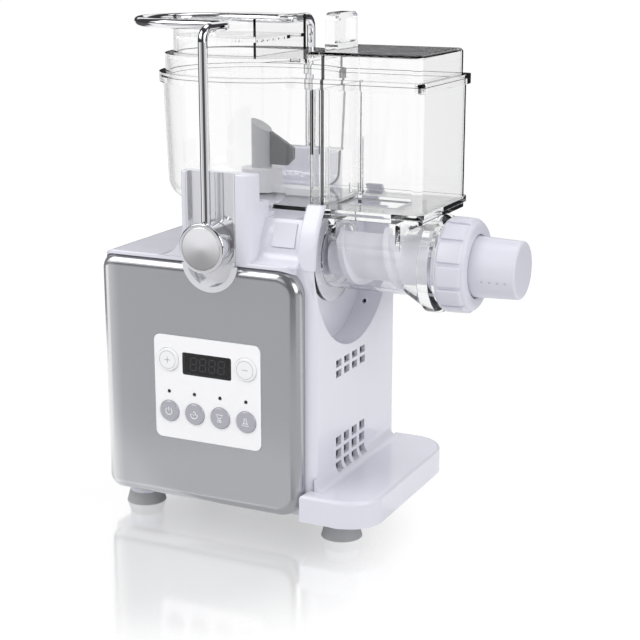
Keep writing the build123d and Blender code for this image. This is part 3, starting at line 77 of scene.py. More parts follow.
# ---------------------------------------------------------------- node trees
class Relief(Enum):
    """How the fine relief of a finish runs."""

    MOULDED = "moulded"
    SPUN = "spun"
    BRUSHED = "brushed"


class Graph:
    """Adds and links the nodes of one tree."""

    def __init__(self, tree: Tree) -> None:
        """Keeps the tree that the nodes go into."""
        self.tree = tree

    def feed(self, target: Socket, value: Any) -> None:
        """Joins an output to an input, or sets the input's own value.

        Args:
            target: The input.
            value: An output, or a number, a vector, or a colour of three numbers.
        """
        if isinstance(value, bpy.types.NodeSocket):
            self.tree.links.new(value, target)
        elif target.type == "RGBA":
            target.default_value = (*value, 1.0)
        else:
            target.default_value = value

    def add(self, kind: str, inputs: dict[Any, Any] | None = None, **settings: Any) -> Node:
        """Adds one node.

        Args:
            kind: The node's type name.
            inputs: What goes into its inputs, by name or number.
            **settings: Properties to set first, such as operation="MULTIPLY".

        Returns:
            The new node.
        """
        node = self.tree.nodes.new(kind)
        for name, value in settings.items():
            setattr(node, name, value)
        for key, value in (inputs or {}).items():
            self.feed(node.inputs[key], value)
        return node

    def group(self, tree: Tree, **inputs: Any) -> Any:
        """Outputs of a new group node with these inputs."""
        return self.add("ShaderNodeGroup", inputs, node_tree=tree).outputs

    def math(self, operation: str, *values: Any) -> Socket:
        """Output of a new Math node with these inputs."""
        return self.add("ShaderNodeMath", dict(enumerate(values)), operation=operation).outputs[0]

    def vector(self, operation: str, inputs: dict[Any, Any], output: Any = 0) -> Socket:
        """One output of a new Vector Math node."""
        return self.add("ShaderNodeVectorMath", inputs, operation=operation).outputs[output]

    def axes(self, vector: Socket) -> Any:
        """The X, Y and Z outputs of a vector."""
        return self.add("ShaderNodeSeparateXYZ", {0: vector}).outputs

    def noise(self, vector: Socket, scale: Any, detail: float) -> Socket:
        """Cloudy noise in space, from 0 to 1."""
        inputs = {"Vector": vector, "Scale": scale, "Detail": detail}
        return self.add("ShaderNodeTexNoise", inputs).outputs["Fac"]

    def fade(self, value: Socket, start: float, end: float) -> Socket:
        """A soft step, which is 0 at the start and 1 at the end."""
        inputs = {"Value": value, "From Min": start, "From Max": end}
        return self.add("ShaderNodeMapRange", inputs, interpolation_type="SMOOTHSTEP").outputs[0]

    def blend(self, factor: Socket, first: Any, second: Any) -> Socket:
        """Mixes two colours, where the factor is the share of the second."""
        inputs = {"Factor": factor, 6: first, 7: second}
        return self.add("ShaderNodeMix", inputs, data_type="RGBA").outputs[2]


def start_tree(
    name: str, kind: str, inputs: dict[str, tuple[str, Any]], outputs: dict[str, str]
) -> tuple[Graph, Any, Any]:
    """Starts a node group.

    Args:
        name: The group's name.
        kind: The tree's type name.
        inputs: Socket type and default of each input.
        outputs: Socket type of each output.

    Returns:
        The group's graph, what its inputs bring, and where its outputs are fed.
    """
    tree = bpy.data.node_groups.new(name, kind)
    for label, (socket_type, default) in inputs.items():
        socket = tree.interface.new_socket(label, in_out="INPUT", socket_type="NodeSocket" + socket_type)
        if default is not None:
            socket.default_value = default
    for label, socket_type in outputs.items():
        tree.interface.new_socket(label, in_out="OUTPUT", socket_type="NodeSocket" + socket_type)
    graph = Graph(tree)
    return graph, graph.add("NodeGroupInput").outputs, graph.add("NodeGroupOutput").inputs


def start_material(name: str, **values: Any) -> tuple[bpy.types.Material, Graph, Node]:
    """Starts a material.

    Args:
        name: The material's name.
        **values: What goes into the main shader, with spaces written as underlines.

    Returns:
        The material, its graph and its main shader.
    """
    material = bpy.data.materials.new(name)
    material.use_nodes = True
    graph = Graph(material.node_tree)
    shader = material.node_tree.nodes["Principled BSDF"]
    for label, value in values.items():
        graph.feed(shader.inputs[label.replace("_", " ")], value)
    return material, graph, shader


class EffectLibrary:
    """The shader node groups that several finishes share."""

    # Painted sheen of turned caps: the colour is scaled down towards the bottom and kept full towards the
    # top.
    PAINTED_SHEEN_CORE = 4.0 * MM
    PAINTED_SHEEN_LOW = 0.38
    PAINTED_SHEEN_SPAN = (-0.9, 0.7)
    BRUSH_STRETCH = (0.02, 1.0, 1.0)
    HAZE_SPAN = (0.42, 0.68)
    BACKDROP_EDGE = (0.80, 0.90)
    SIDE_FRONT_EDGE = (-0.92, -0.84)
    SIDE_REAR_EDGE = (0.05, 0.2)
    FRONT_EDGE = (-0.36, -0.30)

    def __init__(self) -> None:
        """Builds each group once."""
        self.relief = {
            Relief.MOULDED: self._moulded(),
            Relief.SPUN: self._spun(),
            Relief.BRUSHED: self._brushed(),
        }
        self.drift = self._drift()
        self.handling = self._handling()
        self.light_ring = self._light_ring()

    @staticmethod
    def _start(
        name: str, inputs: dict[str, tuple[str, Any]], outputs: dict[str, str]
    ) -> tuple[Graph, Any, Any]:
        """Starts a group whose first input is a place or a direction."""
        return start_tree(name, "ShaderNodeTree", {"Vector": ("Vector", None), **inputs}, outputs)

    def _moulded(self) -> Tree:
        """Soft orange-peel of a moulded or lacquered face.

        Returns:
            The group.
        """
        graph, start, end = self._start("moulded_grain", {"Scale": ("Float", 900.0)}, {"Height": "Float"})
        fine = graph.noise(start["Vector"], start["Scale"], 2.0)
        broad = graph.noise(start["Vector"], graph.math("MULTIPLY", start["Scale"], 0.06), 1.0)
        graph.feed(end["Height"], graph.math("ADD", fine, graph.math("MULTIPLY", broad, 1.5)))
        return graph.tree

    def _spun(self) -> Tree:
        """Fine turning lines round the Y axis of the given coordinates, and a painted sheen that makes the
        colour lighter towards the top.

        Returns:
            The group.
        """
        outputs = {"Height": "Float", "PaintedSheen": "Float"}
        graph, start, end = self._start("spun_lines_painted_sheen", {"Scale": ("Float", 2500.0)}, outputs)
        axes = graph.axes(start["Vector"])
        squares = [graph.math("MULTIPLY", axes[axis], axes[axis]) for axis in ("X", "Z")]
        radius = graph.math("SQRT", graph.math("ADD", *squares))
        inputs = {"W": radius, "Scale": start["Scale"], "Detail": 3.0}
        lines = graph.add("ShaderNodeTexNoise", inputs, noise_dimensions="1D")
        graph.feed(end["Height"], lines.outputs["Fac"])
        # Painted sheen: the colour is darker towards the bottom and lighter towards the top.
        upwards = graph.math("DIVIDE", axes["Z"], graph.math("ADD", radius, self.PAINTED_SHEEN_CORE))
        lift = graph.math("MULTIPLY", graph.fade(upwards, *self.PAINTED_SHEEN_SPAN), 1.0 - self.PAINTED_SHEEN_LOW)
        graph.feed(end["PaintedSheen"], graph.math("ADD", lift, self.PAINTED_SHEEN_LOW))
        return graph.tree

    def _brushed(self) -> Tree:
        """Brush lines that run along X.

        Returns:
            The group.
        """
        graph, start, end = self._start("brushed_lines", {"Scale": ("Float", 1500.0)}, {"Height": "Float"})
        stretch = graph.add("ShaderNodeMapping", {"Vector": start["Vector"], "Scale": self.BRUSH_STRETCH})
        graph.feed(end["Height"], graph.noise(stretch.outputs[0], start["Scale"], 3.0))
        return graph.tree

    def _drift(self) -> Tree:
        """Slow change of tone over a surface.

        Returns:
            The group.
        """
        inputs = {
            "Colour": ("Color", (0.8, 0.8, 0.8, 1.0)),
            "Amount": ("Float", 0.03),
            "Scale": ("Float", 14.0),
        }
        graph, start, end = self._start("tone_drift", inputs, {"Colour": "Color"})
        cloud = graph.noise(start["Vector"], start["Scale"], 3.0)
        shade = graph.math("MULTIPLY", graph.math("SUBTRACT", cloud, 0.5), start["Amount"])
        scaled = graph.vector("SCALE", {0: start["Colour"], "Scale": graph.math("ADD", shade, 1.0)})
        graph.feed(end["Colour"], scaled)
        return graph.tree

    def _handling(self) -> Tree:
        """Patches where a polished face is a little less clean.

        Returns:
            The group.
        """
        inputs = {"Scale": ("Float", 45.0), "Low": ("Float", 0.02), "High": ("Float", 0.06)}
        graph, start, end = self._start("handling_haze", inputs, {"Roughness": "Float"})
        spread = {
            "Value": graph.noise(start["Vector"], start["Scale"], 4.0),
            "From Min": self.HAZE_SPAN[0], "From Max": self.HAZE_SPAN[1],
            "To Min": start["Low"], "To Max": start["High"],
        }
        graph.feed(end["Roughness"], graph.add("ShaderNodeMapRange", spread).outputs[0])
        return graph.tree

    def _light_ring(self) -> Tree:
        """Where the room round the machine is lit, and where the front is.

        Returns:
            The group. Its mask is 1 towards the backdrop and both sides, its front 1 towards the front.
        """
        inputs = {"Backdrop": ("Vector", (0.0, 1.0, 0.0))}
        graph, start, end = self._start("light_ring", inputs, {"Mask": "Float", "Front": "Float"})
        level = graph.vector("MULTIPLY", {0: start["Vector"], 1: (1.0, 1.0, 0.0)})
        towards = {0: graph.vector("NORMALIZE", {0: level}), 1: start["Backdrop"]}
        cosine = graph.vector("DOT_PRODUCT", towards, "Value")
        beyond_front = graph.fade(cosine, *self.SIDE_FRONT_EDGE)
        sides = graph.math("SUBTRACT", beyond_front, graph.fade(cosine, *self.SIDE_REAR_EDGE))
        graph.feed(end["Mask"], graph.math("MAXIMUM", graph.fade(cosine, *self.BACKDROP_EDGE), sides))
        graph.feed(end["Front"], graph.math("SUBTRACT", 1.0, graph.fade(cosine, *self.FRONT_EDGE)))
        return graph.tree


# ---------------------------------------------------------------- finishes
@dataclass(frozen=True)
class Finish:
    """An opaque finish.

    Attributes:
        name: The material's name.
        colour: Base colour, linear.
        roughness: Lowest and highest roughness over the surface.
        metallic: Metallic share.
        coat: Weight of a clear coat.
        drift: How much the tone changes from place to place.
        grain: Scale of the fine relief, per metre.
        depth: Depth of the fine relief.
        relief: How the fine relief runs.
        centre: Where spun lines, the painted sheen and changes of tone are centred.
        subsurface: Weight of light that goes below the surface.
        glow: Strength of the finish's own light, a painted glow.
    """

    name: str
    colour: Colour
    roughness: tuple[float, float] = (0.3, 0.36)
    metallic: float = 0.0
    coat: float = 0.0
    drift: float = 0.03
    grain: float = 900.0
    depth: float = 0.004 * MM
    relief: Relief = Relief.MOULDED
    centre: Place = (0.0, 0.0, 0.0)
    subsurface: float = 0.0
    glow: float = 0.0

    COAT_ROUGHNESS = 0.08
    SKIN = (2.0 * MM, 2.0 * MM, 2.0 * MM)

    def build(self, effects: EffectLibrary) -> bpy.types.Material:
        """Makes the material.

        Args:
            effects: The shared node groups.

        Returns:
            The material.
        """
        material, graph, shader = start_material(
            self.name, Metallic=self.metallic, Coat_Weight=self.coat, Coat_Roughness=self.COAT_ROUGHNESS,
            Subsurface_Weight=self.subsurface, Subsurface_Radius=self.SKIN,
        )
        place = graph.add("ShaderNodeTexCoord").outputs["Object"]
        colour = graph.group(effects.drift, Vector=place, Colour=self.colour, Amount=self.drift)["Colour"]
        # Painted glow, for parts that give off light though they are no lamp.
        if self.glow:
            graph.feed(shader.inputs["Emission Color"], colour)
            graph.feed(shader.inputs["Emission Strength"], self.glow)
        low, high = self.roughness
        haze = graph.group(effects.handling, Vector=place, Low=low, High=high)
        graph.feed(shader.inputs["Roughness"], haze["Roughness"])
        centred = graph.vector("SUBTRACT", {0: place, 1: self.centre})
        relief = graph.group(effects.relief[self.relief], Vector=centred, Scale=self.grain)
        bump = graph.add("ShaderNodeBump", {"Distance": self.depth, "Height": relief["Height"]})
        graph.feed(shader.inputs["Normal"], bump.outputs[0])
        graph.feed(shader.inputs["Base Color"], self.tone(graph, colour, centred, relief))
        return material

    def tone(self, graph: Graph, colour: Socket, place: Socket, relief: Any) -> Socket:
        """The colour that reaches the shader.

        Args:
            graph: The material's graph.
            colour: The finish's own colour with its drift.
            place: Object coordinates from the finish's centre.
            relief: The relief group's outputs.

        Returns:
            The colour.
        """
        return colour


@dataclass(frozen=True)
class SpunFinishPaintedSheen(Finish):
    """A turned finish with a painted sheen: its colour is painted lighter towards the top and darker towards
    the bottom.
    """

    relief: Relief = Relief.SPUN

    def tone(self, graph: Graph, colour: Socket, place: Socket, relief: Any) -> Socket:
        """The colour scaled by the painted sheen, lighter towards the top."""
        return graph.vector("SCALE", {0: colour, "Scale": relief["PaintedSheen"]})


@dataclass(frozen=True)
class PaddleFinishPaintedShade(Finish):
    """A finish whose tone changes from the hub to the fin and to the low arms; the fin's dark tone is
    painted shade.

    Attributes:
        fin: Colour of the fin, a dark painted shade.
        arms: Colour of the arms and the skirt.
        fin_start: Distance from the axis at which the fin starts.
        arms_top: Height over the finish's centre below which the arms' colour holds.
        border: Half the width of a change of colour.
    """

    fin: Colour = (0.14, 0.142, 0.145)
    arms: Colour = (0.74, 0.74, 0.75)
    fin_start: float = 7.7 * MM
    arms_top: float = 21.0 * MM
    border: float = 0.1 * MM

    def tone(self, graph: Graph, colour: Socket, place: Socket, relief: Any) -> Socket:
        """The hub's colour with the fin's painted shade beside it and the arms' colour below.

        Args:
            graph: The material's graph.
            colour: The hub's colour.
            place: Object coordinates from the finish's centre.
            relief: The relief group's outputs.

        Returns:
            The colour.
        """
        axes = graph.axes(place)
        # Painted shade: the fin is darkened against the hub of the same grey moulding.
        beside = graph.fade(axes["X"], self.fin_start - self.border, self.fin_start + self.border)
        above = graph.fade(axes["Z"], self.arms_top - 2 * self.border, self.arms_top + 2 * self.border)
        return graph.blend(above, self.arms, graph.blend(beside, colour, self.fin))


@dataclass(frozen=True)
class PanelFinishPaintedHighlight(Finish):
    """A lacquer with a painted highlight: its colour is painted pale along the panel's left edge.

    Attributes:
        edge: Colour of the painted highlight.
        painted_highlight_end: Where the painted highlight is full, along X.
        painted_highlight_fade_end: Where the painted highlight has faded out, along X.
    """

    # Painted highlight: a pale band painted along the left edge, where the rounded edge would catch light.
    edge: Colour = (0.97, 0.97, 0.98)
    painted_highlight_end: float = -149.0 * MM
    painted_highlight_fade_end: float = -128.0 * MM

    def tone(self, graph: Graph, colour: Socket, place: Socket, relief: Any) -> Socket:
        """The lacquer's colour with the painted highlight at its left edge."""
        past_painted_highlight = graph.fade(graph.axes(place)["X"], self.painted_highlight_end, self.painted_highlight_fade_end)
        return graph.blend(past_painted_highlight, self.edge, colour)


@dataclass(frozen=True)
class ClearFinish:
    """A transparent moulding with painted shade: its colour darkens where its surface turns away from view.

    Attributes:
        name: The material's name.
        face: Colour seen straight through.
        edge: Colour of the painted shade where the surface turns away.
        painted_shade_start: How far the surface turns away before the painted shade starts, up to 1.
        roughness: Lowest and highest roughness.
        ior: Index of refraction.
        wave: Depth of the slow waviness.
        wave_scale: Scale of the waviness, per metre.
        shade: Tone of the light that passes through.
    """

    name: str
    face: Colour
    edge: Colour
    painted_shade_start: float = 0.62
    roughness: tuple[float, float] = (0.0, 0.03)
    ior: float = 1.49
    wave: float = 0.02 * MM
    wave_scale: float = 60.0
    shade: Colour = (0.94, 0.94, 0.945)

    def build(self, effects: EffectLibrary) -> bpy.types.Material:
        """Makes the material.

        Args:
            effects: The shared node groups.

        Returns:
            The material.
        """
        material, graph, shader = start_material(self.name, Transmission_Weight=1.0, IOR=self.ior)
        place = graph.add("ShaderNodeTexCoord").outputs["Object"]
        # Painted shade: the colour turns darker towards the silhouette, by how far the surface faces away.
        facing = graph.add("ShaderNodeLayerWeight", {"Blend": 0.5}).outputs["Facing"]
        tone = graph.blend(graph.fade(facing, self.painted_shade_start, 1.0), self.face, self.edge)
        graph.feed(shader.inputs["Base Color"], tone)
        low, high = self.roughness
        haze = graph.group(effects.handling, Vector=place, Low=low, High=high)
        graph.feed(shader.inputs["Roughness"], haze["Roughness"])
        wave = graph.group(effects.relief[Relief.MOULDED], Vector=place, Scale=self.wave_scale)
        bump = graph.add("ShaderNodeBump", {"Distance": self.wave, "Height": wave["Height"]})
        graph.feed(shader.inputs["Normal"], bump.outputs[0])
        self._let_light_in(graph, shader)
        return material

    def _let_light_in(self, graph: Graph, shader: Node) -> None:
        """Lets lamps and bounced light reach what stands behind the moulding.

        Args:
            graph: The material's graph.
            shader: The material's main shader.
        """
        open_face = graph.add("ShaderNodeBsdfTransparent", {"Color": self.shade})
        path = graph.add("ShaderNodeLightPath").outputs
        lighting = graph.math("MAXIMUM", path["Is Shadow Ray"], path["Is Diffuse Ray"])
        mix = graph.add("ShaderNodeMixShader", {0: lighting, 1: shader.outputs[0], 2: open_face.outputs[0]})
        graph.feed(graph.tree.nodes["Material Output"].inputs["Surface"], mix.outputs[0])


class Look(Enum):
    """Every finish on the machine."""

    WHITE_SHELL = Finish(
        "white_shell_gloss", (0.75, 0.755, 0.82), (0.19, 0.22), coat=0.25, subsurface=0.05
    )
    WHITE_PLATE = Finish("white_plate_gloss", (0.97, 0.97, 0.98), (0.14, 0.2), coat=0.3)
    WHITE_MOULDING = Finish("white_moulding_satin", (0.70, 0.70, 0.77), (0.3, 0.38), subsurface=0.05)
    # Painted light: the same white satin as the moulding, made paler to make up for the shade of the clear
    # barrel round it.
    WHITE_AUGER = Finish("white_auger_satin_painted_light", (0.90, 0.90, 0.94), (0.3, 0.38), subsurface=0.05)
    LINER = Finish(
        "liner_polish", (0.88, 0.88, 0.91), (0.05, 0.1), metallic=0.6, depth=0.0004 * MM, drift=0.0
    )
    # Front panel: its lacquer carries the painted highlight along the left edge.
    SILVER_PANEL = PanelFinishPaintedHighlight(
        "silver_lacquer_painted_highlight", (0.49, 0.495, 0.515), (0.20, 0.22), metallic=0.8, grain=3600.0,
        depth=0.0004 * MM,
    )
    CHROME = Finish(
        "mirror_chrome", (0.86, 0.86, 0.88), (0.02, 0.05), metallic=1.0, depth=0.0004 * MM, drift=0.0
    )
    # Knob caps: the painted sheen makes them lighter at the top and darker at the bottom.
    SATIN_CAP = SpunFinishPaintedSheen(
        "spun_satin_painted_sheen", (0.95, 0.95, 0.97), (0.2, 0.26), metallic=0.45, grain=2200.0, depth=0.002 * MM,
        centre=(-52.8 * MM, 0.0, 211.5 * MM),
    )
    BUTTON_SILVER = Finish("button_silver_gloss", (0.47, 0.465, 0.51), (0.24, 0.3), metallic=0.2)
    BUTTON_WHITE = Finish("button_white_gloss", (0.92, 0.92, 0.93), (0.2, 0.26))
    ICON_WHITE = Finish("icon_print", (0.92, 0.92, 0.94), (0.4, 0.5))
    ICON_GREY = Finish("icon_grey_print", (0.5, 0.52, 0.52), (0.4, 0.5))
    LAMP = Finish("lamp_lens_dark", (0.01, 0.01, 0.012), (0.1, 0.16), coat=0.4)
    # Painted glow: the unlit digits give off a faint light of their own.
    DIGIT = Finish("digit_unlit_painted_glow", (0.5, 0.5, 0.52), (0.5, 0.6), glow=0.5)
    GREY_PADDLE = PaddleFinishPaintedShade(
        "paddle_grey", (0.47, 0.475, 0.48), (0.34, 0.44), depth=0.008 * MM,
        centre=(-52.8 * MM, 0.0, 235.5 * MM),
    )
    DIE_METAL = Finish(
        "turned_die", (0.6, 0.6, 0.6), (0.24, 0.3), metallic=1.0, relief=Relief.BRUSHED,
        depth=0.003 * MM,
    )
    RUBBER = Finish("foot_rubber", (0.42, 0.43, 0.43), (0.5, 0.62), depth=0.01 * MM, grain=1400.0)
    STEEL = Finish("plain_steel", (0.55, 0.55, 0.57), (0.2, 0.3), metallic=1.0, relief=Relief.BRUSHED)
    MOTOR_STEEL = Finish(
        "rolled_sheet", (0.42, 0.42, 0.44), (0.35, 0.45), metallic=1.0, relief=Relief.BRUSHED
    )
    NYLON = Finish("natural_nylon", (0.72, 0.70, 0.62), (0.4, 0.5), subsurface=0.1)
    CAST = Finish("cast_case", (0.38, 0.38, 0.39), (0.5, 0.6), metallic=0.8, depth=0.02 * MM, grain=500.0)
    BRONZE = Finish("sintered_bronze", (0.5, 0.32, 0.14), (0.4, 0.5), metallic=1.0)
    BLACK = Finish("black_moulding", (0.02, 0.02, 0.022), (0.4, 0.5), depth=0.008 * MM)
    BOARD = Finish("board_lacquer", (0.02, 0.16, 0.07), (0.25, 0.35))
    CLEAR = ClearFinish("clear_moulding", (0.995, 0.995, 0.995), (0.3, 0.3, 0.31))
    SMOKED = ClearFinish(
        "smoked_window", (0.12, 0.12, 0.13), (0.05, 0.05, 0.05), ior=1.5, shade=(0.3, 0.3, 0.3)
    )


class FinishShop:
    """Builds each finish once and puts it on the machine's nodes."""

    NODES: dict[Look, tuple[str, ...]] = {
        Look.WHITE_SHELL: ("main_housing", "rear_cover", "base_plate", "foot_discs"),
        Look.WHITE_PLATE: ("control_plate",),
        Look.WHITE_MOULDING: ("die_cap", "ring_nut", "switch_cover"),
        Look.WHITE_AUGER: ("auger",),
        Look.SILVER_PANEL: ("front_fascia",),
        Look.CHROME: ("bail", "front_knob", "rear_knob"),
        Look.LINER: ("front_pivot_liner", "rear_pivot_liner"),
        Look.SATIN_CAP: ("front_knob_cap", "rear_knob_cap"),
        Look.BUTTON_SILVER: ("button_power", "button_mix", "button_extrude", "button_weigh"),
        Look.BUTTON_WHITE: ("button_plus", "button_minus"),
        Look.LAMP: ("led_lenses",),
        Look.SMOKED: ("display_window",),
        Look.CLEAR: (
            "mixing_bowl", "bowl_lid", "inlet_tower", "shutter", "extruder_barrel", "paddle_socket",
        ),
        Look.GREY_PADDLE: ("mixing_paddle",),
        Look.DIE_METAL: ("die_disc",),
        Look.RUBBER: ("suction_feet", "hopper_gasket", "shaft_seals"),
        Look.STEEL: (
            "auger_shaft", "mixer_shaft", "motor_shaft", "pivot_pins", "foot_screws", "panel_screws",
            "board_screws", "drive_screws",
        ),
        Look.MOTOR_STEEL: ("motor_can", "motor_bracket"),
        Look.NYLON: ("auger_gear", "bevel_gear", "bevel_pinion", "motor_pinion"),
        Look.CAST: ("gearbox_case", "gearbox_cover"),
        Look.BRONZE: ("shaft_bushes",),
        Look.BLACK: ("power_inlet", "safety_switch", "tact_switches", "motor_fan", "display_module"),
        Look.BOARD: ("control_board", "power_board"),
    }

    def __init__(self) -> None:
        """Starts with no material made."""
        self.effects = EffectLibrary()
        self.made: dict[Look, bpy.types.Material] = {}

    def material(self, look: Look) -> bpy.types.Material:
        """The material of a look, made on first use."""
        if look not in self.made:
            self.made[look] = look.value.build(self.effects)
        return self.made[look]

    def dress(self, nodes: dict[str, bpy.types.Object]) -> None:
        """Puts a finish on every node of the frame.

        Args:
            nodes: The frame's nodes by name.
        """
        for look, names in self.NODES.items():
            for name in names:
                for slot in nodes[name].material_slots:
                    slot.material = self.material(look)
            LOG.info("%s: %s", look.value.name, ", ".join(names))
        bare = sorted(set(nodes) - {name for names in self.NODES.values() for name in names})
        if bare:
            LOG.warning("no finish for %s", bare)


# ---------------------------------------------------------------- mesh making
class MeshKit:
    """Small mesh makers that the sub-assemblies share."""

    @staticmethod
    def publish(mesh: bpy.types.Mesh, name: str, material: bpy.types.Material) -> bpy.types.Object:
        """Puts a mesh into the scene as an object at the origin.

        Args:
            mesh: The finished mesh.
            name: The piece's name.
            material: Its finish.

        Returns:
            The object.
        """
        mesh.name = name
        mesh.materials.clear()
        mesh.materials.append(material)
        piece = bpy.data.objects.new(name, mesh)
        bpy.context.scene.collection.objects.link(piece)
        return piece

    @staticmethod
    def close(work: BMesh, name: str, angle: float = 0.0) -> bpy.types.Mesh:
        """Turns a mesh under construction into a finished one.

        Args:
            work: The mesh under construction, which is freed.
            name: The mesh's name.
            angle: Edges below this angle are shaded smooth, in degrees.

        Returns:
            The mesh.
        """
        if angle:
            for face in work.faces:
                face.smooth = True
            for edge in work.edges:
                soft = edge.calc_face_angle(0.0) < math.radians(angle)
                edge.smooth = len(edge.link_faces) == 2 and soft
        mesh = bpy.data.meshes.new(name)
        work.to_mesh(mesh)
        work.free()
        return mesh

    @staticmethod
    def skin(work: BMesh, rows: list[list[bmesh.types.BMVert]], closed: bool) -> None:
        """Covers rows of corners with faces.

        Args:
            work: The mesh under construction.
            rows: The rows, each a loop of equally many corners.
            closed: Whether the last row joins the first. Otherwise both ends get a face.
        """
        following_rows = rows[1:] + rows[:1] if closed else rows[1:]
        for row, following in zip(rows, following_rows):
            for corner in range(len(row)):
                nearby = (corner + 1) % len(row)
                work.faces.new((row[corner], row[nearby], following[nearby], following[corner]))
        if not closed:
            work.faces.new(rows[0][::-1])
            work.faces.new(rows[-1])
        bmesh.ops.recalc_face_normals(work, faces=work.faces[:])

    @staticmethod
    def stroke(points: Sequence[Point], width: float, depth: float, closed: bool = False) -> BMesh:
        """A flat line of constant width in the XZ plane, raised towards -Y.

        Args:
            points: The line's middle points.
            width: The line's width.
            depth: How far it stands proud.
            closed: Whether the last point joins the first.

        Returns:
            The mesh under construction.
        """
        work = bmesh.new()
        count = len(points)
        rows = []
        for index, (x, z) in enumerate(points):
            before = points[(index - 1) % count] if closed or index else points[0]
            after = points[(index + 1) % count] if closed or index < count - 1 else points[-1]
            along = Vector((after[0] - before[0], after[1] - before[1])).normalized()
            side = Vector((-along.y, along.x)) * width / 2
            corners = [
                (x + side.x, 0.0, z + side.y), (x + side.x, -depth, z + side.y),
                (x - side.x, -depth, z - side.y), (x - side.x, 0.0, z - side.y),
            ]
            rows.append([work.verts.new(corner) for corner in corners])
        MeshKit.skin(work, rows, closed)
        return work

    @staticmethod
    def merge(parts: Sequence[BMesh], place: Vector) -> bpy.types.Mesh:
        """Joins meshes under construction and moves them to their place.

        Args:
            parts: The meshes, which are freed.
            place: Where their common origin goes.

        Returns:
            The finished mesh.
        """
        whole = bmesh.new()
        for part in parts:
            loose = MeshKit.close(part, "loose")
            whole.from_mesh(loose)
            bpy.data.meshes.remove(loose)
        bmesh.ops.translate(whole, verts=whole.verts[:], vec=place)
        return MeshKit.close(whole, "mesh")

    @staticmethod
    def lathe(profile: Sequence[Point], centre: Vector, steps: int = 96) -> BMesh:
        """A closed ring turned about an axis along X.

        Args:
            profile: X and radius of each corner, as a closed loop.
            centre: A point on the axis, whose X is added to the profile's.
            steps: Number of spans round the axis.

        Returns:
            The mesh under construction.
        """
        work = bmesh.new()
        turns = [2 * math.pi * index / steps for index in range(steps)]
        rings = []
        for turn in turns:
            rings.append([work.verts.new(centre + on_turn(x, radius, turn)) for x, radius in profile])
        MeshKit.skin(work, rings, True)
        return work


def on_turn(x: float, radius: float, turn: float) -> Vector:
    """A place at a radius about the X axis, turned from +Y towards +Z."""
    return Vector((x, radius * math.cos(turn), radius * math.sin(turn)))


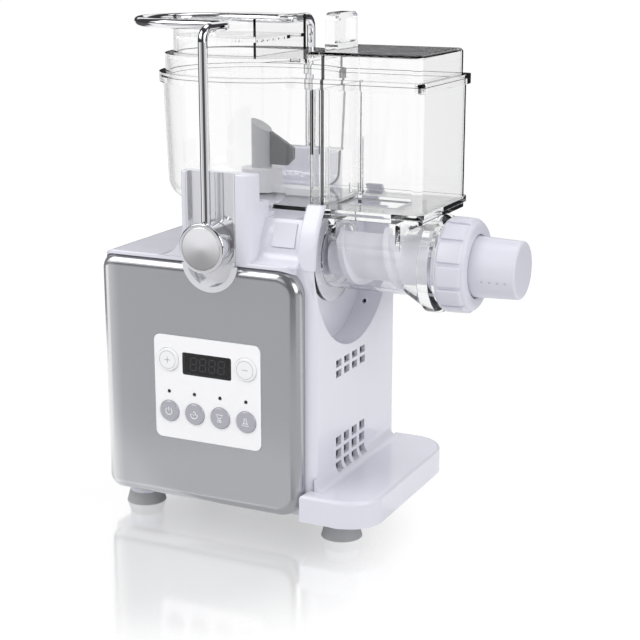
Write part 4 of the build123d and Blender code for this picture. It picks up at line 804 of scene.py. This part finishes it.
class Repeater:
    """Geometry Nodes trees that repeat a pattern, and turn the result into a plain mesh."""

    def __init__(self) -> None:
        """Builds the trees."""
        self.ring = self._ring()
        self.row = self._row()

    @staticmethod
    def _start(name: str, count: int, placing: tuple[str, Place]) -> tuple[Graph, Any, Any]:
        """Starts a tree.

        Args:
            name: The tree's name.
            count: How many copies it makes by itself.
            placing: Name and default of the vector that places the copies.

        Returns:
            The graph, what its inputs bring, and where its outputs are fed.
        """
        label, default = placing
        inputs = {
            "Geometry": ("Geometry", None),
            "Count": ("Int", count),
            label: ("Vector", default),
            "Finish": ("Material", None),
        }
        return start_tree(name, "GeometryNodeTree", inputs, {"Geometry": "Geometry"})

    @staticmethod
    def _copies(graph: Graph, **inputs: Socket) -> Socket:
        """Real copies of a pattern on points."""
        copies = graph.add("GeometryNodeInstanceOnPoints", inputs)
        return graph.add("GeometryNodeRealizeInstances", {0: copies.outputs[0]}).outputs[0]

    @staticmethod
    def _move(graph: Graph, shape: Socket, by: Socket) -> Socket:
        """Moves a shape by a vector."""
        return graph.add("GeometryNodeTransform", {"Geometry": shape, "Translation": by}).outputs[0]

    @staticmethod
    def _end(graph: Graph, shape: Socket, finish: Socket, end: Any) -> Tree:
        """Gives the shape its finish and closes the tree.

        Args:
            graph: The tree's graph.
            shape: The shape.
            finish: Its finish.
            end: Where the tree's outputs are fed.

        Returns:
            The tree.
        """
        dressed = graph.add("GeometryNodeSetMaterial", {"Geometry": shape, "Material": finish})
        graph.feed(end["Geometry"], dressed.outputs[0])
        return graph.tree

    def _ring(self) -> Tree:
        """Copies a pattern round an axis along X.

        Returns:
            The tree.
        """
        graph, start, end = self._start("round_an_axis", 12, ("Centre", (0.0, 0.0, 0.0)))
        to_axis = graph.vector("SCALE", {0: start["Centre"], "Scale": -1.0})
        centred = self._move(graph, start["Geometry"], to_axis)
        points = graph.add("GeometryNodeMeshLine", {"Count": start["Count"], "Offset": (0.0, 0.0, 0.0)})
        share = graph.math("DIVIDE", graph.add("GeometryNodeInputIndex").outputs[0], start["Count"])
        turn = graph.add("ShaderNodeCombineXYZ", {"X": graph.math("MULTIPLY", share, 2 * math.pi)})
        copies = self._copies(graph, Points=points.outputs[0], Instance=centred, Rotation=turn.outputs[0])
        return self._end(graph, self._move(graph, copies, start["Centre"]), start["Finish"], end)

    def _row(self) -> Tree:
        """Copies a pattern in a straight row.

        Returns:
            The tree.
        """
        graph, start, end = self._start("in_a_row", 4, ("Step", (0.01, 0.0, 0.0)))
        points = graph.add("GeometryNodeMeshLine", {"Count": start["Count"], "Offset": start["Step"]})
        copies = self._copies(graph, Points=points.outputs[0], Instance=start["Geometry"])
        return self._end(graph, copies, start["Finish"], end)

    @staticmethod
    def run(pattern: bpy.types.Mesh, tree: Tree, values: dict[str, Any], name: str) -> bpy.types.Object:
        """Repeats a pattern and leaves a plain mesh.

        Args:
            pattern: The mesh of one repeat.
            tree: The tree to run.
            values: The tree's inputs by name.
            name: The piece's name.

        Returns:
            The object, at the origin, with no modifier.
        """
        source = bpy.data.objects.new(name + "_pattern", pattern)
        bpy.context.scene.collection.objects.link(source)
        modifier = source.modifiers.new("repeat", "NODES")
        modifier.node_group = tree
        for item in tree.interface.items_tree:
            if item.item_type == "SOCKET" and item.in_out == "INPUT" and item.name in values:
                modifier[item.identifier] = values[item.name]
        graph = bpy.context.evaluated_depsgraph_get()
        mesh = bpy.data.meshes.new_from_object(source.evaluated_get(graph), depsgraph=graph)
        source.modifiers.remove(modifier)
        bpy.data.objects.remove(source)
        mesh.name = name
        piece = bpy.data.objects.new(name, mesh)
        bpy.context.scene.collection.objects.link(piece)
        return piece


@dataclass
class Workshop:
    """What every sub-assembly needs: the frame, the finishes and the repeaters."""

    nodes: dict[str, bpy.types.Object]
    finishes: FinishShop = field(default_factory=FinishShop)
    repeat: Repeater = field(default_factory=Repeater)

    def box(self, node: str) -> tuple[Vector, Vector, Vector]:
        """Lowest corner, highest corner and middle of a node."""
        low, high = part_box(node)
        return low, high, (low + high) / 2


# ---------------------------------------------------------------- sub-assemblies
@dataclass(frozen=True)
class Line:
    """One line of a button's sign, in millimetres from the button's middle.

    Attributes:
        points: The line's middle points, X to the right and Z up.
        closed: Whether the last point joins the first.
        width: The line's width.
    """

    points: tuple[Point, ...]
    closed: bool = False
    width: float = 0.55

    @classmethod
    def arc(
        cls, radius: float, start: float, end: float, steps: int = 24, lift: float = 0.0, **settings: Any
    ) -> Line:
        """A line along an arc.

        Args:
            radius: The arc's radius.
            start: First angle, in degrees from the right upwards.
            end: Last angle.
            steps: Number of spans.
            lift: Height of the arc's centre.
            **settings: The line's other attributes.

        Returns:
            The line.
        """
        turns = [math.radians(start + (end - start) * index / steps) for index in range(steps + 1)]
        points = tuple((radius * math.cos(turn), radius * math.sin(turn) + lift) for turn in turns)
        return cls(points, **settings)


FRAME_RING = Line.arc(6.6, 0.0, 352.5, 47, closed=True, width=0.35)
LEVEL_BAR = Line(((-2.4, 0.0), (2.4, 0.0)))
SIGNS: dict[str, tuple[Line, ...]] = {
    "power": (Line.arc(2.6, 125.0, 415.0), Line(((0.0, 0.3), (0.0, 3.3)))),
    "mix": (Line.arc(3.0, 180.0, 360.0, closed=True), Line.arc(1.3, 200.0, 480.0, 18, lift=0.9)),
    "extrude": (
        Line(((-2.8, 2.8), (2.8, 2.8), (1.0, 0.2), (-1.0, 0.2)), closed=True),
        Line(((-1.2, -0.6), (-1.2, -3.0))),
        Line(((0.0, -0.6), (0.0, -3.0))),
        Line(((1.2, -0.6), (1.2, -3.0))),
    ),
    "weigh": (
        Line(((-0.8, 3.0), (0.8, 3.0), (0.8, 1.0), (2.6, -2.4), (-2.6, -2.4), (-0.8, 1.0)), closed=True),
        Line(((-1.6, -0.8), (1.6, -0.8))),
    ),
    "plus": (LEVEL_BAR, Line(((0.0, -2.4), (0.0, 2.4))), FRAME_RING),
    "minus": (LEVEL_BAR, FRAME_RING),
}


@dataclass
class ControlPanel:
    """Signs on the buttons, and the digits behind the window.

    Attributes:
        proud: How far a sign stands out of its foot.
        sunk: How far a sign's foot lies in its button.
        digits: Number of digits.
        digit_height: Height of a digit.
        digit_width: Width of a digit.
        digit_step: Distance from one digit to the next.
        digit_bar: Width of a digit's bars.
        digit_gap: Room at a bar's ends, as a share of the bar's width.
        digit_lean: How far a digit's top leans to the right.
        digit_depth: Thickness of a digit's bars.
    """

    proud: float = 0.12 * MM
    sunk: float = 0.02 * MM
    digits: int = 4
    digit_height: float = 9.4 * MM
    digit_width: float = 5.0 * MM
    digit_step: float = 7.6 * MM
    digit_bar: float = 0.9 * MM
    digit_gap: float = 0.62
    digit_lean: float = 0.8 * MM
    digit_depth: float = 0.05 * MM

    def build(self, shop: Workshop) -> None:
        """Makes the signs and the digits.

        Args:
            shop: The frame, finishes and repeaters.
        """
        for name, lines in SIGNS.items():
            low, _, middle = shop.box("button_" + name)
            white = name in ("plus", "minus")
            place = Vector((middle.x, low.y + self.sunk, middle.z))
            mesh = MeshKit.merge([self._stroke(line) for line in lines], place)
            material = shop.finishes.material(Look.ICON_GREY if white else Look.ICON_WHITE)
            piece = MeshKit.publish(mesh, "sign_" + name, material)
            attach(piece, "press_" + name)
            LOG.info("sign_%s: %d lines", name, len(lines))
        self._digits(shop)

    def _stroke(self, line: Line) -> BMesh:
        """A sign's line as a mesh under construction."""
        points = [(x * MM, z * MM) for x, z in line.points]
        return MeshKit.stroke(points, line.width * MM, self.proud, line.closed)

    def _bars(self) -> list[list[Point]]:
        """The seven bars of a digit.

        Returns:
            Both ends of each bar, from the digit's middle.
        """
        half_w, half_h = self.digit_width / 2, self.digit_height / 2
        gap = self.digit_bar * self.digit_gap
        bars = []
        for level in (-1, 0, 1):
            lean = level * self.digit_lean / 2
            bars.append([(-half_w + gap + lean, level * half_h), (half_w - gap + lean, level * half_h)])
        for side in (-1, 1):
            for level in (-1, 0):
                ends = (level * half_h + gap, (level + 1) * half_h - gap)
                bars.append([(side * half_w + self.digit_lean / 2 * end / half_h, end) for end in ends])
        return bars

    def _digits(self, shop: Workshop) -> None:
        """Seven-bar digits in a row, in front of the display module.

        Args:
            shop: The frame, finishes and repeaters.
        """
        low, _, middle = shop.box("display_module")
        strokes = [MeshKit.stroke(bar, self.digit_bar, self.digit_depth) for bar in self._bars()]
        first = middle.x - (self.digits - 1) / 2 * self.digit_step
        mesh = MeshKit.merge(strokes, Vector((first, low.y - self.sunk, middle.z)))
        finish = shop.finishes.material(Look.DIGIT)
        values = {"Count": self.digits, "Step": (self.digit_step, 0.0, 0.0), "Finish": finish}
        piece = shop.repeat.run(mesh, shop.repeat.row, values, "display_digits")
        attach(piece, "machine")
        LOG.info("display_digits: %d digits", self.digits)


@dataclass
class Mouthpiece:
    """The lugs of the ring nut and the dots on the die's cap.

    Attributes:
        lugs: Number of lugs round the nut.
        base: Radius of the nut between the lugs.
        crown: Radius over the lugs.
        bore: Radius of the nut's inside.
        mouth: Radius of the opening that the cap comes through.
        lip_depth: Depth of the rim round that opening.
        phase: Angle of the first lug's middle, in degrees from +Y towards +Z.
        lug_share: Share of the pitch that a lug takes.
        lug_steps: Number of spans across a lug.
        lip: Width of the plain rims beside the lugs.
        edge: Rounding of a lug's edges.
        dots: Number of dots on the cap.
        dot_radius: Radius of a dot.
        dot_step: Distance between two dots.
        dot_start: Distance of the first dot from the cap's rear.
        dot_reach: Distance of the dots from the cap's axis.
        dot_angle: Angle of the dots from the front, in degrees upwards.
    """

    lugs: int = 12
    base: float = 32.4 * MM
    crown: float = 34.1 * MM
    bore: float = 29.5 * MM
    mouth: float = 22.9 * MM
    lip_depth: float = 3.0 * MM
    phase: float = 4.0
    lug_share: float = 0.84
    lug_steps: int = 8
    lip: float = 2.6 * MM
    edge: float = 0.7 * MM
    dots: int = 4
    dot_radius: float = 0.8 * MM
    dot_step: float = 5.6 * MM
    dot_start: float = 16.5 * MM
    dot_reach: float = 21.7 * MM
    dot_angle: float = -16.0

    def build(self, shop: Workshop) -> None:
        """Makes the nut and the dots."""
        self._nut(shop)
        self._dots(shop)

    def _nut(self, shop: Workshop) -> None:
        """The nut: a turned ring with raised lugs.

        Args:
            shop: The frame, finishes and repeaters.
        """
        low, high, middle = shop.box("ring_nut")
        centre = Vector((low.x, 0.0, middle.z))
        length = high.x - low.x
        finish = shop.finishes.material(Look.WHITE_MOULDING)
        profile = [
            (0.0, self.base - 1.2 * MM), (0.4 * MM, self.base + 0.2 * MM), (1.6 * MM, self.base + 0.5 * MM),
            (self.lip, self.base), (length - self.lip, self.base - 0.4 * MM),
            (length - 1.2 * MM, self.base - 0.9 * MM), (length - 0.2 * MM, self.base - 2.2 * MM),
            (length, self.base - 3.0 * MM), (length, self.mouth), (length - self.lip_depth, self.mouth),
            (length - self.lip_depth, self.bore), (0.0, self.bore),
        ]
        body = MeshKit.close(MeshKit.lathe(profile, centre), "nut", 40.0)
        nut = MeshKit.publish(body, "nut_ring", finish)
        values = {"Count": self.lugs, "Centre": tuple(centre), "Finish": finish}
        ribs = shop.repeat.run(self._lug(centre, length), shop.repeat.ring, values, "nut_lugs")
        for piece in (nut, ribs):
            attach(piece, "nut")
        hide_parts("ring_nut")
        LOG.info("nut_ring with %d lugs", self.lugs)

    def _lug(self, centre: Vector, length: float) -> bpy.types.Mesh:
        """One lug: a curved block with rounded edges.

        Args:
            centre: Where the nut's axis meets its rear face.
            length: The nut's length.

        Returns:
            The mesh.
        """
        work = bmesh.new()
        half = math.pi * self.lug_share / self.lugs
        section = (
            (self.lip - 0.6 * MM, self.base - 1.0 * MM), (self.lip - 0.2 * MM, self.crown),
            (length - self.lip - 1.4 * MM, self.crown - 0.4 * MM), (length - 1.6 * MM, self.base - 1.2 * MM),
        )
        rows = []
        for index in range(self.lug_steps + 1):
            turn = math.radians(self.phase) - half + 2 * half * index / self.lug_steps
            rows.append([work.verts.new(centre + on_turn(x, radius, turn)) for x, radius in section])
        MeshKit.skin(work, rows, False)
        sharp = [edge for edge in work.edges if edge.calc_face_angle(0.0) > math.radians(30)]
        bmesh.ops.bevel(work, geom=sharp, offset=self.edge, segments=3, profile=0.5, affect="EDGES")
        return MeshKit.close(work, "lug", 50.0)

    def _dots(self, shop: Workshop) -> None:
        """Small dots in a row on the cap's front.

        Args:
            shop: The frame, finishes and repeaters.
        """
        low, _, middle = shop.box("die_cap")
        work = bmesh.new()
        bmesh.ops.create_uvsphere(work, u_segments=16, v_segments=8, radius=self.dot_radius)
        bmesh.ops.scale(work, vec=(1.0, 0.5, 1.0), verts=work.verts[:])
        turn = math.radians(180.0 - self.dot_angle)
        place = on_turn(low.x + self.dot_start, self.dot_reach, turn) + Vector((0.0, 0.0, middle.z))
        bmesh.ops.translate(work, verts=work.verts[:], vec=place)
        finish = shop.finishes.material(Look.ICON_GREY)
        values = {"Count": self.dots, "Step": (self.dot_step, 0.0, 0.0), "Finish": finish}
        piece = shop.repeat.run(MeshKit.close(work, "dot", 35.0), shop.repeat.row, values, "cap_dots")
        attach(piece, "die")
        LOG.info("cap_dots: %d", self.dots)


# ---------------------------------------------------------------- studio
@dataclass(frozen=True)
class Softbox:
    """One soft lamp.

    Attributes:
        name: The lamp's name.
        place: Where it stands.
        aim: What it points at.
        width: Its width.
        height: Its height.
        power: Its power in watts.
    """

    name: str
    place: Place
    aim: Place
    width: float
    height: float
    power: float

    def build(self) -> None:
        """Sets up the lamp."""
        data = bpy.data.lights.new(self.name, "AREA")
        data.shape = "RECTANGLE"
        data.size, data.size_y = self.width, self.height
        data.energy = self.power
        lamp = bpy.data.objects.new(self.name, data)
        lamp.location = self.place
        aim = Vector(self.aim) - Vector(self.place)
        lamp.rotation_euler = aim.to_track_quat("-Z", "Y").to_euler()
        bpy.context.scene.collection.objects.link(lamp)


@dataclass
class Studio:
    """Floor, backdrop, lamps and camera.

    Attributes:
        camera_place: Where the camera stands.
        pitch: How far it looks down, in degrees.
        yaw: How far it is turned to the left, in degrees.
        lens: Its lens in millimetres.
        floor_size: Half the width of the floor.
        floor_glow: Strength of the floor's white where it is seen.
        floor_polish: Share of the floor that mirrors.
        floor_blur: Roughness of that mirror image.
        floor_shadow: Share of the floor that takes light and shadow.
        backdrop_side: Direction from the machine to the backdrop.
        dim: Tone of the dim parts of the room.
        glass_dim: The same for what clear plastic bends towards the viewer.
        ambient: Tone of the light from all round.
        table_reach: Distances from the machine between which the table stops being lit for gloss.
        polish_reach: Distances between which the floor's mirror image fades.
        polish_place: Where on the floor those distances start.
        polish_slant: How slanted the view is where the mirror image starts and where it is full.
        front_tone: Tone of the table in front in what polished metal mirrors.
        horizon: Sines of the height between which the light for gloss starts.
        ceiling: The same where it ends.
        glass_ceiling: The same where the light through clear plastic ends.
        lamps: The soft lamps.
    """

    camera_place: Place = (0.4550, -0.9647, 0.4227)
    pitch: float = 14.6
    yaw: float = 25.5
    lens: float = 83.25
    floor_size: float = 12.0
    floor_glow: float = 1.05
    floor_polish: float = 0.55
    floor_blur: float = 0.12
    floor_shadow: float = 0.08
    backdrop_side: Place = (-0.4305, 0.9026, 0.0)
    dim: Colour = (0.05, 0.05, 0.055)
    glass_dim: Colour = (0.32, 0.32, 0.33)
    ambient: Colour = (0.66, 0.66, 0.68)
    table_reach: tuple[float, float] = (0.55, 0.75)
    polish_reach: tuple[float, float] = (0.10, 0.21)
    polish_place: Place = (-0.085, -0.115, 0.0)
    polish_slant: tuple[float, float] = (0.25, 0.65)
    front_tone: Colour = (0.60, 0.60, 0.61)
    horizon: tuple[float, float] = (0.21, 0.27)
    ceiling: tuple[float, float] = (0.50, 0.70)
    glass_ceiling: tuple[float, float] = (0.34, 0.60)
    lamps: tuple[Softbox, ...] = (
        Softbox("key_softbox", (-0.9, -0.9, 1.3), (-0.03, 0.0, 0.2), 0.9, 0.9, 10.0),
        Softbox("fill_softbox", (1.3, -0.5, 0.8), (0.0, 0.0, 0.15), 0.8, 1.0, 6.5),
        Softbox("top_softbox", (0.0, 0.25, 1.5), (0.0, 0.0, 0.3), 1.0, 0.7, 3.5),
    )

    def build(self, effects: EffectLibrary) -> None:
        """Sets up the whole studio.

        Args:
            effects: The shared node groups.
        """
        self._camera()
        self._floor(effects)
        self._world(effects)
        for lamp in self.lamps:
            lamp.build()
        bpy.context.scene.view_settings.view_transform = "Standard"
        LOG.info("studio: %d lamps", len(self.lamps))

    def _camera(self) -> None:
        """The camera, at the machine's three-quarter view from the front."""
        data = bpy.data.cameras.new("studio_camera")
        data.sensor_width = 36.0
        data.lens = self.lens
        data.clip_start, data.clip_end = 0.01, 100.0
        camera = bpy.data.objects.new("studio_camera", data)
        camera.location = self.camera_place
        camera.rotation_euler = Euler((math.radians(90 - self.pitch), 0.0, math.radians(self.yaw)))
        bpy.context.scene.collection.objects.link(camera)
        bpy.context.scene.camera = camera

    def _ring(self, graph: Graph, effects: EffectLibrary, direction: Socket) -> Any:
        """The outputs that say where the room is lit, and where its front is."""
        return graph.group(effects.light_ring, Vector=direction, Backdrop=self.backdrop_side)

    def _floor_glow(self, graph: Graph, effects: EffectLibrary, place: Socket, path: Any) -> Node:
        """The floor's white, with its dim and grey parts in what gloss mirrors.

        Args:
            graph: The floor's graph.
            effects: The shared node groups.
            place: Object coordinates.
            path: What kind of ray meets the floor.

        Returns:
            The emission node.
        """
        ring = self._ring(graph, effects, place)
        far = graph.fade(graph.vector("LENGTH", {0: place}, "Value"), *self.table_reach)
        unlit = graph.math("MULTIPLY", far, graph.math("SUBTRACT", 1.0, ring["Mask"]))
        mirrored = graph.blend(unlit, graph.blend(ring["Front"], WHITE, self.front_tone), self.dim)
        mirror_ray = graph.math("SUBTRACT", path["Is Glossy Ray"], path["Is Transmission Ray"])
        tone = graph.blend(graph.math("MAXIMUM", mirror_ray, 0.0), WHITE, mirrored)
        return graph.add("ShaderNodeEmission", {"Color": tone, "Strength": self.floor_glow})

    def _floor_polish(self, graph: Graph, place: Socket) -> Socket:
        """How much of the floor mirrors: near the machine, and seen at a slant.

        Args:
            graph: The floor's graph.
            place: Object coordinates.

        Returns:
            The share.
        """
        away = graph.vector("DISTANCE", {0: place, 1: self.polish_place}, "Value")
        near = graph.math("SUBTRACT", 1.0, graph.fade(away, *self.polish_reach))
        facing = graph.add("ShaderNodeLayerWeight", {"Blend": 0.5}).outputs["Facing"]
        polished = graph.math("MULTIPLY", near, graph.fade(facing, *self.polish_slant))
        return graph.math("MULTIPLY", polished, self.floor_polish)

    def _floor(self, effects: EffectLibrary) -> None:
        """A plain pale floor that keeps the machine's shadow and a faint reflection.

        Args:
            effects: The shared node groups.
        """
        work = bmesh.new()
        bmesh.ops.create_grid(work, x_segments=1, y_segments=1, size=self.floor_size)
        material, graph, matt = start_material("floor_white", Base_Color=(0.8, 0.8, 0.8), Roughness=0.6)
        path = graph.add("ShaderNodeLightPath").outputs
        place = graph.add("ShaderNodeTexCoord").outputs["Object"]
        glow = self._floor_glow(graph, effects, place, path)
        polish = graph.add("ShaderNodeBsdfGlossy", {"Color": WHITE, "Roughness": self.floor_blur})
        share = self._floor_polish(graph, place)
        seen = graph.add("ShaderNodeMixShader", {0: share, 1: glow.outputs[0], 2: polish.outputs[0]})
        bent = graph.math("MAXIMUM", path["Is Glossy Ray"], path["Is Transmission Ray"])
        direct = graph.math("MAXIMUM", path["Is Camera Ray"], bent)
        clear_share = graph.math("MULTIPLY", direct, 1.0 - self.floor_shadow)
        mix = graph.add("ShaderNodeMixShader", {0: clear_share, 1: matt.outputs[0], 2: seen.outputs[0]})
        graph.feed(graph.tree.nodes["Material Output"].inputs["Surface"], mix.outputs[0])
        MeshKit.publish(MeshKit.close(work, "floor"), "studio_floor", material)

    def _world(self, effects: EffectLibrary) -> None:
        """White backdrop and horizon, with a dim ceiling and front in what gloss and glass see.

        Args:
            effects: The shared node groups.
        """
        world = bpy.data.worlds.new("studio_world")
        bpy.context.scene.world = world
        world.use_nodes = True
        graph = Graph(world.node_tree)
        direction = graph.add("ShaderNodeTexCoord").outputs["Generated"]
        height = graph.axes(direction)["Z"]
        band = graph.math("SUBTRACT", graph.fade(height, *self.horizon), graph.fade(height, *self.ceiling))
        lit = graph.math("MULTIPLY", self._ring(graph, effects, direction)["Mask"], band)
        through = graph.blend(graph.fade(height, *self.glass_ceiling), WHITE, self.glass_dim)
        path = graph.add("ShaderNodeLightPath").outputs
        plain = graph.blend(path["Is Camera Ray"], self.ambient, WHITE)
        with_gloss = graph.blend(path["Is Glossy Ray"], plain, graph.blend(lit, self.dim, WHITE))
        final = graph.blend(path["Is Transmission Ray"], with_gloss, through)
        background = world.node_tree.nodes["Background"]
        graph.feed(background.inputs["Color"], final)
        graph.feed(background.inputs["Strength"], 1.0)


# ---------------------------------------------------------------- assembly
def corners(box: tuple[Vector, Vector]) -> list[list[float]]:
    """A box as plain lists of numbers."""
    return [list(box[0]), list(box[1])]


def main() -> None:
    """Builds the dressed model in order."""
    logging.basicConfig(level=logging.INFO, format="%(message)s")
    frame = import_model()
    shop = Workshop(nodes=frame["nodes"])
    Studio().build(shop.finishes.effects)
    shop.finishes.dress(frame["nodes"])
    ControlPanel().build(shop)
    Mouthpiece().build(shop)


if __name__ == "__main__":
    main()
